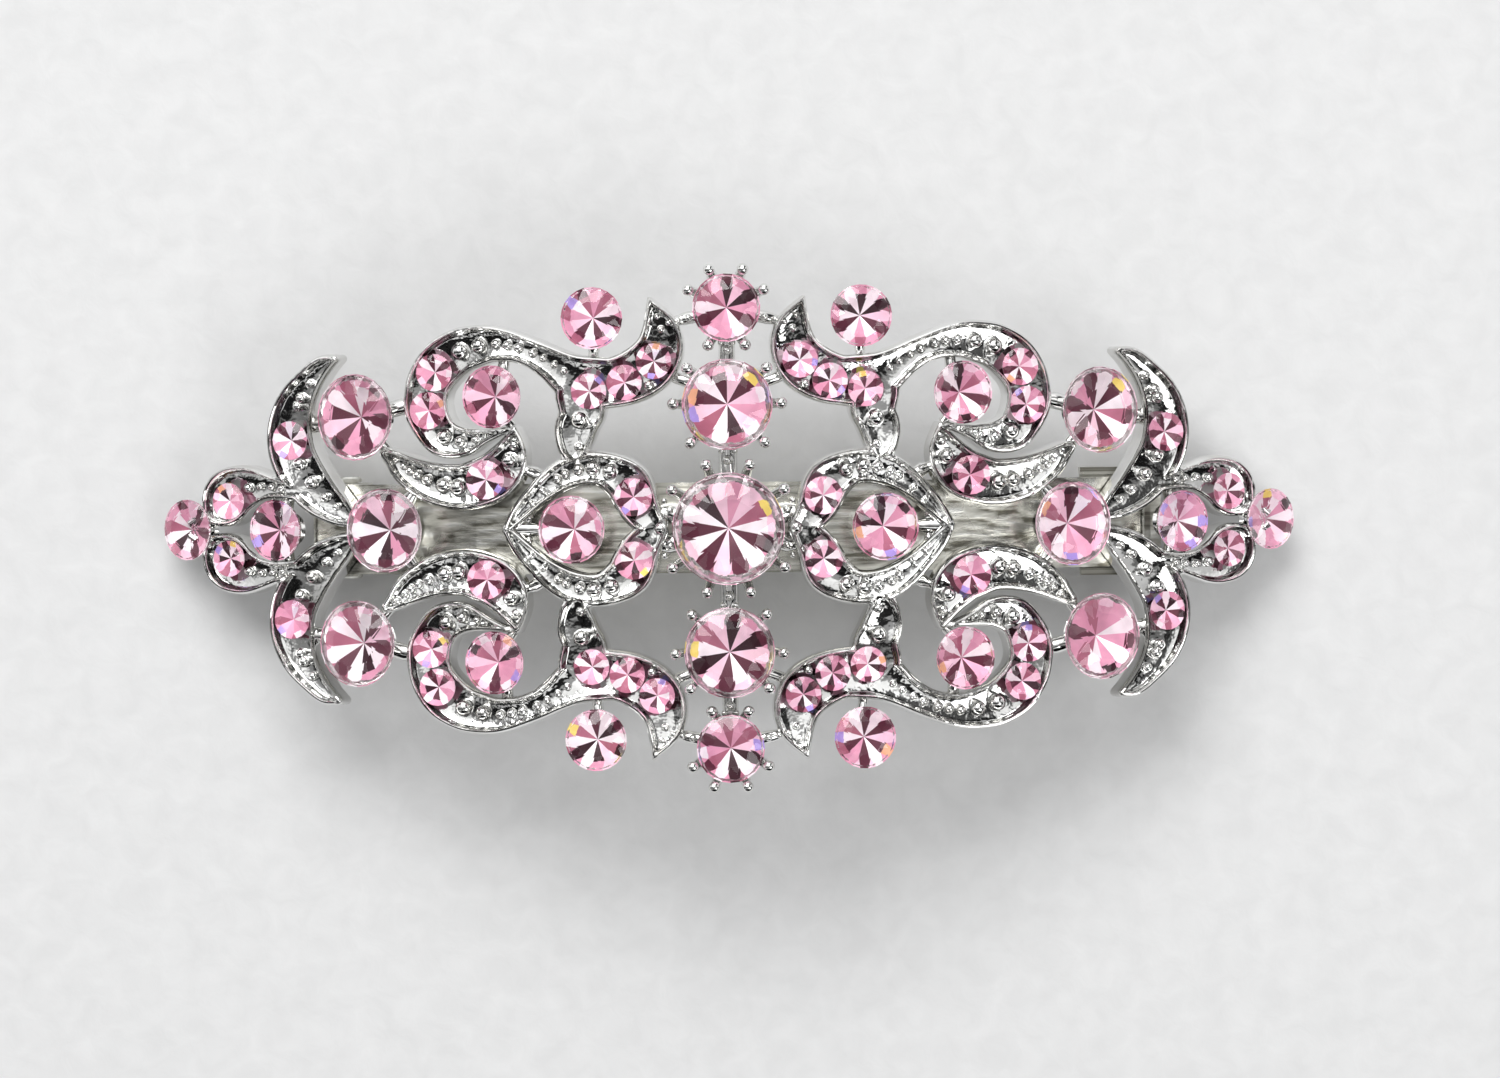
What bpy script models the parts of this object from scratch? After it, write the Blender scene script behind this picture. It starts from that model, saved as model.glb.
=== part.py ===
"""Rhinestone hair clip: an openwork casting set with faceted stones, riveted to an arched French clip.

Lengths are in millimetres up to the point where a mesh is made. The ornament is drawn flat, as
(along, across), and wrapped over an arch about an axis along Y. The clip hangs under the arch: plate,
bow spring, clasp arm on a hinge pin, and two squeeze tabs at the free end.
"""

import math

import bmesh
import bpy
import numpy as np
from mathutils import Matrix, Vector
from mathutils.geometry import delaunay_2d_cdt

MM = 0.001

# Ornament: overall sizes. The pattern below was drawn at these two sizes and follows them.
ORNAMENT_LENGTH = 103.9  # along the arch, tip to tip
ORNAMENT_WIDTH = 44.6
DRAWN_LENGTH = 103.9
DRAWN_WIDTH = 44.6

# Arch
ARCH_RADIUS = 88.0  # back of the casting
SETTING_LIFT = 2.0  # distances along the arch are true this far above the back
TIP_CLEARANCE = 0.35  # ornament tips above the surface that the clip rests on

# Casting heights above its back
RIM_HEIGHT = 2.0
TROUGH_HEIGHT = 1.2
LINK_HEIGHT = 1.4
SEAT_FLOOR = 0.35
COLLAR_HEIGHT = 2.25
RIM_WIDTH = 0.42
COLLAR_WALL = 0.4
PRONG_RADIUS = 0.42
PRONG_RISE = 0.35  # prong shoulder above the girdle
BAND_STEP = 2.2  # spacing of the outline points along a band
CURVE_PIECES = 10
LARGE_SIDES = 12
SMALL_SIDES = 8
BORE_SIDES = 6
PRONG_SIDES = 6
OUTLINE_MERGE = 0.012  # points of crossing outlines nearer than this are one
FINE_MERGE = 0.00001

# Stones
SET_GAP = 0.07  # between a stone and its seat
CROWN_SHARE = 0.15  # crown height over diameter
TABLE_SHARE = 0.54  # table diameter over girdle diameter
GIRDLE_DEPTH = 0.12
PAVILION_SLOPE = 0.66
BORE_SHARE = 0.72  # seat bore over girdle diameter
DRUM_SHARE = 0.94  # pedestal under an overhanging stone over girdle diameter
SMALL_BACK_SHARE = 0.55
ROW_LINK_HALF = 0.5
ROW_LINK_DEPTH = 0.3

# Clip
PLATE_HALF_LENGTH = 35.4
PLATE_WIDTH = 7.6
PLATE_THICKNESS = 0.7
PLATE_GAP = 0.15  # solder line between the casting and the plate
ROLL_RADIUS = 0.65
EAR_THICKNESS = 0.7
EAR_LENGTH = 4.6
EAR_FOOT = 2.6
HINGE_INSET = 2.9  # hinge axis from the plate's end
HINGE_HEIGHT = 1.95
HINGE_PIN_RADIUS = 0.6
PIN_CLEARANCE = 0.06
PIN_HEAD = 0.45
SIDE_CLEARANCE = 0.3  # clasp arm to ear
ARM_THICKNESS = 0.8
ARM_RISE = 1.5
CURL_WALL = 0.6
ARM_LIP = 0.9
SPRING_THICKNESS = 0.35
SPRING_WIDTH = 4.8
SPRING_SAG = 2.0
SPRING_FLAT = 3.6  # length of each riveted end
LAYER_GAP = 0.1
PEG_RADIUS = 0.6
PEG_HEAD_RADIUS = 1.05
PEG_HEAD_THICKNESS = 0.4

# Latch
LUG_THICKNESS = 0.6
LUG_HALF_WIDTH = 2.5
LUG_DROP = 2.9
TAB_LENGTH = 3.6
TAB_PLAY = 0.2  # tab to lug, along the clip
TAB_THICKNESS = 0.6
TAB_INNER = 1.2  # inner face of a tab from the clip's middle
TAB_FOOT = 0.3
TAB_BARREL = 0.8
TAB_BULGE = 0.1
WINDOW_PLAY = 0.25
LATCH_PIN_RADIUS = 0.4
LATCH_PIN_DROP = 1.0  # pin below the plate's underside at the outer lug
WING_REACH = 4.6
WING_THICKNESS = 0.6
WING_HEIGHT = 2.6
WING_NECK = 0.6
POST_LENGTH = 1.3

# Bands of the casting, upper right quarter: (along, across, half width)
OUTER_CRESCENT = [(34.1, 14.5, 0.35), (35.4, 13.9, 0.9), (36.7, 12.6, 1.25), (37.8, 11.0, 1.7), (38.4, 9.3, 2.05),
                  (38.5, 7.6, 2.25), (38.1, 6.0, 2.25), (37.1, 4.4, 2.15), (35.7, 2.9, 1.85), (34.1, 1.7, 1.35),
                  (32.9, 0.9, 0.75)]
PETAL = [(45.8, 1.9, 1.6), (44.9, 2.7, 2.4), (43.9, 3.3, 2.2), (42.8, 3.6, 1.85), (41.6, 3.7, 1.4),
         (40.2, 3.6, 1.05), (38.8, 3.4, 0.9), (37.8, 3.2, 0.8)]
SCROLL = [(18.7, 8.4, 0.25), (20.8, 7.85, 0.7), (22.7, 7.4, 1.3), (24.4, 7.8, 1.7), (25.3, 8.9, 1.85),
          (25.8, 10.2, 2.0), (25.8, 11.4, 2.0), (25.4, 12.7, 2.05), (24.4, 14.0, 2.1), (22.9, 15.0, 1.95),
          (21.5, 15.4, 1.8), (20.2, 15.6, 1.6), (19.0, 15.5, 1.45), (17.8, 15.25, 1.3), (16.3, 14.7, 1.3),
          (14.7, 13.8, 1.5), (13.0, 12.75, 1.95), (11.2, 12.3, 2.2), (9.6, 12.3, 2.15), (8.1, 12.7, 2.25),
          (6.7, 13.5, 2.3), (5.8, 14.6, 2.15), (5.5, 15.8, 1.85), (5.7, 17.2, 1.3), (6.5, 19.3, 0.15)]
STEM = [(12.4, 11.3, 2.2), (12.3, 10.1, 2.05), (12.5, 9.35, 1.85), (12.9, 8.3, 1.8), (13.05, 7.1, 1.4),
        (12.95, 6.3, 1.0)]
LOWER_CRESCENT = [(18.0, 8.5, 0.25), (18.2, 7.3, 0.95), (18.5, 6.2, 1.55), (19.1, 5.2, 1.95), (20.0, 4.4, 2.1),
                  (21.1, 3.95, 2.1), (22.5, 3.6, 2.0), (24.0, 3.65, 1.9), (25.5, 4.0, 1.75), (26.7, 4.5, 1.55),
                  (27.9, 5.2, 1.25), (28.8, 5.95, 0.85), (29.6, 6.5, 0.5)]
MEDALLION = [(18.8, 0.0, 0.5), (17.6, 1.5, 0.85), (16.2, 2.9, 1.05), (15.0, 3.9, 1.25), (13.6, 4.7, 1.4),
             (12.0, 5.1, 1.45), (10.5, 5.0, 1.5), (9.3, 4.45, 1.75), (8.4, 3.75, 1.95), (7.95, 2.9, 1.95),
             (7.5, 1.85, 1.75), (6.95, 1.0, 1.5), (6.1, 0.0, 1.1)]
BANDS = [OUTER_CRESCENT, PETAL, SCROLL, STEM, LOWER_CRESCENT, MEDALLION]

# Plain links between settings and bands, upper right quarter
LINKS = [
    [(0.0, 4.0, 0.6), (0.0, 8.0, 0.6)],
    [(0.0, 13.2, 0.5), (0.0, 17.0, 0.5)],
    [(1.8, 17.9, 0.45), (6.0, 17.0, 0.45)],
    [(2.6, 12.0, 0.45), (6.6, 13.4, 0.45)],
    [(3.6, 0.9, 0.8), (7.4, 1.9, 0.8)],
    [(11.2, 16.4, 0.5), (11.9, 13.0, 0.6)],
    [(12.6, 0.0, 3.3), (17.6, 0.0, 0.9)],
    [(18.6, 5.4, 0.6), (15.2, 4.2, 0.6)],
    [(18.5, 8.6, 0.45), (19.6, 10.0, 0.45)],
    [(19.3, 12.6, 0.5), (19.1, 14.6, 0.5)],
    [(29.9, 10.0, 0.7), (26.6, 10.8, 0.7)],
    [(31.0, 8.0, 0.6), (29.2, 6.2, 0.5)],
    [(34.2, 9.2, 0.7), (37.2, 8.9, 0.7)],
    [(28.2, 2.0, 0.6), (26.9, 3.8, 0.6)],
    [(39.6, 1.2, 0.6), (39.2, 3.3, 0.6)],
    [(48.6, 0.5, 0.5), (46.3, 2.0, 0.6)],
]


class Setting:
    """One kind of stone: place in the upper right quarter, diameter and girdle height."""

    def __init__(self, name, along, across, diameter, style, girdle=None):
        self.name = name
        self.along = along
        self.across = across
        self.diameter = diameter
        self.radius = diameter / 2
        self.style = style
        self.girdle = girdle
        if style == "small":
            self.girdle = TROUGH_HEIGHT + SET_GAP + self.back_depth()

    def back_depth(self):
        """Flat back of a small stone below its girdle's middle."""
        return GIRDLE_DEPTH / 2 + (1 - SMALL_BACK_SHARE) * self.radius * PAVILION_SLOPE


SETTINGS = [
    Setting("centre", 0.0, 0.0, 9.4, "claw", 4.2),
    Setting("column_inner", 0.0, 10.35, 7.6, "claw", 3.7),
    Setting("column_outer", 0.0, 18.4, 5.7, "claw", 3.2),
    Setting("scroll_crest", 11.25, 17.65, 5.2, "collar", 2.4),
    Setting("spiral", 19.85, 11.15, 5.3, "collar", 2.4),
    Setting("medallion", 13.1, 0.0, 5.7, "collar", 2.6),
    Setting("shoulder", 31.75, 9.55, 7.3, "drum", 3.0),
    Setting("end", 29.2, 0.0, 7.1, "drum", 3.0),
    Setting("trefoil", 39.65, 0.0, 5.2, "collar", 2.4),
    Setting("tip", 48.5, 0.0, 5.2, "collar", 2.4),
    Setting("lower_crescent", 20.65, 4.2, 3.3, "small"),
    Setting("medallion_small", 8.0, 2.65, 3.2, "small"),
    Setting("crescent_small", 38.45, 7.6, 3.3, "small"),
    Setting("petal_small", 44.65, 2.45, 3.1, "small"),
]

# Rows of small stones moulded on one base
ROWS = {
    "scroll_row": [Setting("row", 6.15, 14.0, 3.0, "small"),
                   Setting("row", 8.65, 12.25, 3.0, "small"),
                   Setting("row", 11.65, 11.55, 3.0, "small")],
    "spiral_row": [Setting("row", 25.05, 13.25, 3.15, "small"),
                   Setting("row", 25.65, 10.05, 3.15, "small")],
}

# Prongs of the claw settings: (clock angles in degrees from +Y, centre outside the girdle)
PRONGS = {"centre": ((18.5, 54.5), 1.05), "column_inner": ((47.0, 89.0, 136.0), 0.65),
          "column_outer": ((23.5, 64.5, 154.0), 0.65)}


# ---------------------------------------------------------------- arch

TIP_REACH = ORNAMENT_LENGTH / 2 / (ARCH_RADIUS + SETTING_LIFT)
BACK_HEIGHT = ARCH_RADIUS * (1 - math.cos(TIP_REACH)) + TIP_CLEARANCE
ARCH_AXIS_HEIGHT = BACK_HEIGHT - ARCH_RADIUS
ALONG_SCALE = ORNAMENT_LENGTH / DRAWN_LENGTH
ACROSS_SCALE = ORNAMENT_WIDTH / DRAWN_WIDTH


def arch_angle(along):
    return along / (ARCH_RADIUS + SETTING_LIFT)


def on_arch(along, across, height):
    """Point of the ornament wrapped over the arch, in mm."""
    angle = arch_angle(along)
    radius = ARCH_RADIUS + height
    return Vector((radius * math.sin(angle), across, ARCH_AXIS_HEIGHT + radius * math.cos(angle)))


def arch_height(radius, x):
    """Height of the cylinder of this radius about the arch's axis, over x."""
    return ARCH_AXIS_HEIGHT + math.sqrt(radius * radius - x * x)


def arch_placement(along, across, height):
    """Matrix that stands a piece on the arch, in metres."""
    place = Matrix.Translation(on_arch(along, across, height) * MM)
    return place @ Matrix.Rotation(arch_angle(along), 4, "Y")


def placed(setting):
    """Drawn place of a setting, at the ornament's own size."""
    return setting.along * ALONG_SCALE, setting.across * ACROSS_SCALE


def quarters(along, across):
    """Signs of the quarters in which a point has a separate copy."""
    for side in (1, -1) if along else (1,):
        for end in (1, -1) if across else (1,):
            yield side, end


# ---------------------------------------------------------------- objects

def clear_scene():
    for old in list(bpy.data.objects):
        bpy.data.objects.remove(old)


def make_material(name, colour, metallic, roughness):
    material = bpy.data.materials.new(name)
    material.use_nodes = True
    shader = material.node_tree.nodes["Principled BSDF"]
    shader.inputs["Base Color"].default_value = (*colour, 1.0)
    shader.inputs["Metallic"].default_value = metallic
    shader.inputs["Roughness"].default_value = roughness
    material.diffuse_color = (*colour, 1.0)
    return material


def add_object(name, mesh_builder, material, rounded=False):
    """Object from a bmesh in metres, with its faces pointing out."""
    mesh = bpy.data.meshes.new(name)
    bmesh.ops.recalc_face_normals(mesh_builder, faces=mesh_builder.faces)
    mesh_builder.to_mesh(mesh)
    mesh_builder.free()
    mesh.materials.append(material)
    if rounded:
        mesh.shade_smooth()
        mesh.set_sharp_from_angle(angle=math.radians(35))
    item = bpy.data.objects.new(name, mesh)
    bpy.context.scene.collection.objects.link(item)
    return item


def as_helper(item):
    item.hide_render = True
    item.display_type = "WIRE"
    return item


def combine(item, helper, operation):
    """Adds helper to item, or cuts it away."""
    modifier = item.modifiers.new(f"{operation.lower()} {helper.name}", "BOOLEAN")
    modifier.object = as_helper(helper)
    modifier.operation = operation
    modifier.solver = "EXACT"


def sweep_profile(builder, outline, low, high, across="Y"):
    """Closed prism: an outline in mm, drawn in the plane across one axis, between two places on it."""
    def point(first, second, third):
        spots = {"Y": (first, third, second), "X": (third, first, second)}
        return Vector(spots[across]) * MM

    ends = [[builder.verts.new(point(*spot, place)) for spot in outline] for place in (low, high)]
    builder.faces.new(ends[0])
    builder.faces.new(reversed(ends[1]))
    for index in range(len(outline)):
        following = (index + 1) % len(outline)
        builder.faces.new((ends[0][index], ends[1][index], ends[1][following], ends[0][following]))


def add_rod(builder, start, end, radius, sides=14):
    """Round bar from start to end, in mm."""
    start, end = Vector(start), Vector(end)
    turn = (end - start).to_track_quat("Z", "Y").to_matrix().to_4x4()
    place = Matrix.Translation((start + end) / 2 * MM) @ turn
    bmesh.ops.create_cone(builder, cap_ends=True, segments=sides, radius1=radius * MM,
                          radius2=radius * MM, depth=(end - start).length * MM, matrix=place)


def add_turned(builder, profile, placement, sides=16):
    """Solid of revolution about Z: profile is (radius, height) in mm, from axis to axis."""
    rings = []
    for radius, height in profile:
        if radius == 0:
            rings.append([builder.verts.new(placement @ Vector((0, 0, height * MM)))])
            continue
        ring = []
        for index in range(sides):
            angle = 2 * math.pi * index / sides
            spot = Vector((radius * math.cos(angle), radius * math.sin(angle), height)) * MM
            ring.append(builder.verts.new(placement @ spot))
        rings.append(ring)
    for lower, upper in zip(rings, rings[1:]):
        for index in range(sides):
            following = (index + 1) % sides
            if len(lower) == 1:
                builder.faces.new((lower[0], upper[following], upper[index]))
            elif len(upper) == 1:
                builder.faces.new((lower[index], lower[following], upper[0]))
            else:
                builder.faces.new((lower[index], lower[following], upper[following], upper[index]))


def arc(centre, radius, start, end, pieces):
    """Points of an arc, angles in degrees."""
    points = []
    for index in range(pieces + 1):
        angle = math.radians(start + (end - start) * index / pieces)
        points.append((centre[0] + radius * math.cos(angle), centre[1] + radius * math.sin(angle)))
    return points


# ---------------------------------------------------------------- drawing the casting

def smooth_spine(points, step):
    """Catmull-Rom curve through (along, across, half width), with points about a step apart."""
    knots = [np.array((u * ALONG_SCALE, v * ACROSS_SCALE, half)) for u, v, half in points]
    knots = [2 * knots[0] - knots[1], *knots, 2 * knots[-1] - knots[-2]]
    fine = []
    for before, start, end, after in zip(knots, knots[1:], knots[2:], knots[3:]):
        for t in np.arange(CURVE_PIECES) / CURVE_PIECES:
            fine.append(0.5 * (2 * start + (end - before) * t
                               + (2 * before - 5 * start + 4 * end - after) * t ** 2
                               + (3 * start - before - 3 * end + after) * t ** 3))
    fine.append(knots[-2])
    fine = np.array(fine)
    lengths = np.concatenate([[0], np.cumsum(np.linalg.norm(np.diff(fine[:, :2], axis=0), axis=1))])
    places = np.linspace(0, lengths[-1], max(1, round(lengths[-1] / step)) + 1)
    return np.stack([np.interp(places, lengths, fine[:, column]) for column in range(3)], axis=1)


def outline_of(samples, inset=0.0):
    """Outline of a band: one edge out, round its end, the other edge back."""
    tangents = np.gradient(samples[:, :2], axis=0)
    tangents /= np.linalg.norm(tangents, axis=1)[:, None]
    normals = np.stack([-tangents[:, 1], tangents[:, 0]], axis=1)
    half = (samples[:, 2] - inset)[:, None]
    first = samples[:, :2] + normals * half
    second = samples[:, :2] - normals * half
    nose = samples[-1:, :2] + tangents[-1:] * half[-1]
    tail = samples[:1, :2] - tangents[:1] * half[0]
    return np.concatenate([first, nose, second[::-1], tail])


def disc(centre, radius, sides):
    angles = 2 * math.pi * np.arange(sides) / sides
    return np.stack([centre[0] + radius * np.cos(angles), centre[1] + radius * np.sin(angles)], axis=1)


def disc_around(centre, radius, sides):
    """Polygon whose flats touch the circle."""
    return disc(centre, radius / math.cos(math.pi / sides), sides)


def winding(starts, ends, points):
    """Winding number of directed edges about each point."""
    turns = np.zeros(len(points), int)
    for start, end in zip(starts, ends):
        side = ((end[0] - start[0]) * (points[:, 1] - start[1])
                - (end[1] - start[1]) * (points[:, 0] - start[0]))
        rising = (start[1] <= points[:, 1]) & (end[1] > points[:, 1])
        falling = (start[1] > points[:, 1]) & (end[1] <= points[:, 1])
        turns += (rising & (side > 0)).astype(int) - (falling & (side < 0)).astype(int)
    return turns


def triangulate(spots, edges, merge):
    """Constrained triangles, each anticlockwise: (points, triangles, sources of each point)."""
    result = delaunay_2d_cdt([Vector(spot) for spot in spots], edges, [], 0, merge, True)
    points = np.array([tuple(spot) for spot in result[0]])
    triangles = np.array([tuple(face) for face in result[2]])
    flat = points[triangles]
    turn = np.cross(flat[:, 1] - flat[:, 0], flat[:, 2] - flat[:, 0])
    triangles[turn < 0] = triangles[turn < 0][:, ::-1]
    return points, triangles, result[3]


def sides_of_edges(triangles):
    """Edge (low, high) -> the triangles on it."""
    found = {}
    for number, triangle in enumerate(triangles):
        for start, end in zip(triangle, np.roll(triangle, -1)):
            found.setdefault((int(min(start, end)), int(max(start, end))), []).append(number)
    return found


def steps_between(triangles, heights):
    """Edges where the height changes: (start, end, low, high), the high side on the left."""
    steps = []
    for (start, end), sides in sides_of_edges(triangles).items():
        near = [heights[number] for number in sides] + [0.0] * (2 - len(sides))
        low, high = min(near), max(near)
        if low == high:
            continue
        higher = list(triangles[sides[near.index(high)]])
        if (higher.index(end) - higher.index(start)) % 3 != 1:
            start, end = end, start
        steps.append((start, end, low, high))
    return steps


class Drawing:
    """Flat drawing of the casting: outlines with heights, and the rules that combine them."""

    def __init__(self):
        self.rules = []
        self.peaks = []

    def raise_to(self, outline, height):
        self.rules.append((outline, height, False))

    def set_to(self, outline, height):
        self.rules.append((outline, height, True))

    def heights(self, points, triangles):
        """Height of each triangle, taken at its middle."""
        middles = points[triangles].mean(axis=1)
        level = np.zeros(len(middles))
        for outline, height, replaces in self.rules:
            hit = winding(outline, np.roll(outline, -1, axis=0), middles) != 0
            level[hit] = height if replaces else np.maximum(level[hit], height)
        return [round(float(height), 4) for height in level]

    def triangles(self):
        """(points, triangles, height of each triangle, extra height of each point).

        The first triangulation holds every outline. The second keeps only the edges that show.
        """
        spots, edges = [], []
        for outline, _, _ in self.rules:
            first = len(spots)
            spots.extend(outline)
            count = len(outline)
            edges.extend((first + index, first + (index + 1) % count) for index in range(count))
        points, triangles, _ = triangulate(spots, edges, OUTLINE_MERGE)
        steps = steps_between(triangles, self.heights(points, triangles))
        used = sorted({point for step in steps for point in step[:2]})
        place = {point: index for index, point in enumerate(used)}
        edges = [(place[start], place[end]) for start, end, _, _ in steps]
        spots = [points[point] for point in used] + [spot for spot, _ in self.peaks]
        points, triangles, sources = triangulate(spots, edges, FINE_MERGE)
        extra = np.zeros(len(points))
        for index, origins in enumerate(sources):
            for origin in origins:
                if origin >= len(used):
                    extra[index] = self.peaks[origin - len(used)][1]
        return points, triangles, self.heights(points, triangles), extra


def terrace(drawing, builder):
    """Closed solid whose top steps up and down as the drawing says, wrapped over the arch."""
    points, triangles, heights, extra = drawing.triangles()
    verts = {}

    def vert(point, height):
        key = (int(point), height)
        if key not in verts:
            spot = on_arch(points[point][0], points[point][1], height + extra[point] * (height > 0))
            verts[key] = builder.verts.new(spot * MM)
        return verts[key]

    levels = {}
    for triangle, height in zip(triangles, heights):
        for point in triangle:
            levels.setdefault(int(point), set()).add(height)
        if height > 0:
            builder.faces.new([vert(point, height) for point in triangle])
    steps = steps_between(triangles, heights)
    for start, end, low, _ in steps:
        if low == 0:
            levels[start].add(low)
            levels[end].add(low)
    for start, end, low, high in steps:
        first = [vert(start, level) for level in sorted(levels[start]) if low <= level <= high]
        second = [vert(end, level) for level in sorted(levels[end]) if low <= level <= high]
        build_wall(builder, first, second)
    build_back(builder, points, [step[:2] for step in steps if step[2] == 0], vert)


def build_wall(builder, first, second):
    """Triangles between two upright rows of points."""
    left = right = 0
    while left < len(first) - 1 or right < len(second) - 1:
        left_share = (left + 1) / len(first) if left < len(first) - 1 else 2
        right_share = (right + 1) / len(second) if right < len(second) - 1 else 2
        if left_share <= right_share:
            builder.faces.new((second[right], first[left + 1], first[left]))
            left += 1
        else:
            builder.faces.new((second[right], second[right + 1], first[left]))
            right += 1


def build_back(builder, points, rim, vert):
    """Back of the casting, from the points of its outer edges only."""
    used = sorted({point for edge in rim for point in edge})
    place = {point: index for index, point in enumerate(used)}
    edges = [(place[start], place[end]) for start, end in rim]
    flat, triangles, sources = triangulate([points[point] for point in used], edges, FINE_MERGE)
    starts = [points[start] for start, _ in rim]
    ends = [points[end] for _, end in rim]
    covered = winding(starts, ends, flat[triangles].mean(axis=1)) != 0
    for triangle in triangles[covered]:
        builder.faces.new([vert(used[sources[index][0]], 0.0) for index in reversed(triangle)])


def draw_band(drawing, points, side, end):
    samples = smooth_spine(points, BAND_STEP)
    flip = np.array((side, end))
    drawing.raise_to(outline_of(samples) * flip, RIM_HEIGHT)
    wide = samples[samples[:, 2] > RIM_WIDTH + 0.45]
    return outline_of(wide, RIM_WIDTH) * flip


def draw_seat(drawing, setting, side, end):
    centre = np.array(placed(setting)) * (side, end)
    radius = setting.radius
    lowest = setting.girdle - GIRDLE_DEPTH / 2
    if setting.style == "small":
        drawing.set_to(disc(centre, radius + SET_GAP, SMALL_SIDES), TROUGH_HEIGHT)
        return
    ledge = lowest - (1 - BORE_SHARE) * radius * PAVILION_SLOPE - SET_GAP
    if setting.style == "collar":
        drawing.set_to(disc(centre, radius + SET_GAP + COLLAR_WALL, LARGE_SIDES), COLLAR_HEIGHT)
        drawing.set_to(disc_around(centre, radius + SET_GAP, LARGE_SIDES), ledge)
    else:
        drawing.set_to(disc(centre, radius * DRUM_SHARE, LARGE_SIDES), ledge)
    drawing.set_to(disc_around(centre, radius * BORE_SHARE, BORE_SIDES), SEAT_FLOOR)


def draw_prong(drawing, centre, shoulder):
    drawing.raise_to(disc(centre, PRONG_RADIUS, PRONG_SIDES), shoulder)
    drawing.peaks.append((centre, PRONG_RADIUS * 0.6))


def prong_places(setting):
    """Places of the prongs round a claw setting, each once."""
    places = set()
    clocks, stand_off = PRONGS[setting.name]
    reach = setting.radius + stand_off
    for clock in clocks:
        offset = (reach * math.sin(math.radians(clock)), reach * math.cos(math.radians(clock)))
        ends = (1, -1) if setting.name == "centre" else (1,)
        for side in (1, -1):
            for end in ends:
                places.add((round(side * offset[0], 4), round(end * offset[1], 4)))
    return sorted(places)


def draw_casting():
    drawing = Drawing()
    troughs = []
    for side in (1, -1):
        for end in (1, -1):
            for band in BANDS:
                troughs.append(draw_band(drawing, band, side, end))
    for trough in troughs:
        drawing.set_to(trough, TROUGH_HEIGHT)
    for side in (1, -1):
        for end in (1, -1):
            for link in LINKS:
                drawing.raise_to(outline_of(smooth_spine(link, 9.0)) * (side, end), LINK_HEIGHT)
    rows = [stone for row in ROWS.values() for stone in row]
    for setting in SETTINGS + rows:
        for side, end in quarters(setting.along, setting.across):
            draw_seat(drawing, setting, side, end)
    for setting in SETTINGS:
        if setting.style != "claw":
            continue
        for side, end in quarters(setting.along, setting.across):
            middle = np.array(placed(setting)) * (side, end)
            for offset in prong_places(setting):
                centre = middle + np.array(offset) * (1, end)
                foot = middle + (centre - middle) * (setting.radius * 0.8 / np.linalg.norm(centre - middle))
                leg = np.array([(*foot, 0.34), (*centre, 0.34)])
                drawing.raise_to(outline_of(leg), LINK_HEIGHT)
                draw_prong(drawing, centre, setting.girdle + PRONG_RISE)
    return drawing


# ---------------------------------------------------------------- stones

def add_stone(builder, setting, placement, sides):
    """Faceted stone about its girdle's middle: table, crown, girdle and pavilion."""
    radius = setting.radius * MM
    table = radius * TABLE_SHARE
    crown = setting.diameter * CROWN_SHARE * MM
    half_girdle = GIRDLE_DEPTH / 2 * MM

    def ring(size, height, count, turn):
        spots = []
        for index in range(count):
            angle = 2 * math.pi * (index + turn) / count
            spots.append(builder.verts.new(
                placement @ Vector((size * math.cos(angle), size * math.sin(angle), height))))
        return spots

    facets = 8
    top = ring(table, half_girdle + crown, facets, 0)
    upper = ring(radius, half_girdle, sides, 0)
    lower = ring(radius, -half_girdle, sides, 0)
    builder.faces.new(top)
    share = sides // facets
    for index in range(facets):
        edge = [upper[(index * share + step) % sides] for step in range(share + 1)]
        following = (index + 1) % facets
        for start, end in zip(edge, edge[1:]):
            builder.faces.new((top[index], start, end))
        builder.faces.new((top[index], edge[-1], top[following]))
    for index in range(sides):
        following = (index + 1) % sides
        builder.faces.new((lower[index], lower[following], upper[following], upper[index]))
    if setting.style == "small":
        back = ring(radius * SMALL_BACK_SHARE, -setting.back_depth() * MM, sides, 0)
        for index in range(sides):
            following = (index + 1) % sides
            builder.faces.new((back[index], back[following], lower[following], lower[index]))
        builder.faces.new(list(reversed(back)))
        return
    point = builder.verts.new(placement @ Vector((0, 0, -half_girdle - radius * PAVILION_SLOPE)))
    for index in range(sides):
        builder.faces.new((point, lower[(index + 1) % sides], lower[index]))


def side_name(side, end, setting):
    words = []
    if setting.along:
        words.append("right" if side > 0 else "left")
    if setting.across:
        words.append("top" if end > 0 else "bottom")
    return "_".join(words)


def build_stones(glass):
    for setting in SETTINGS:
        for side, end in quarters(setting.along, setting.across):
            along, across = placed(setting)
            builder = bmesh.new()
            add_stone(builder, setting, Matrix(), 8 if setting.style == "small" else 16)
            words = ["stone", setting.name, side_name(side, end, setting)]
            item = add_object("_".join(word for word in words if word), builder, glass)
            item.matrix_world = arch_placement(along * side, across * end, setting.girdle)


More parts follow.
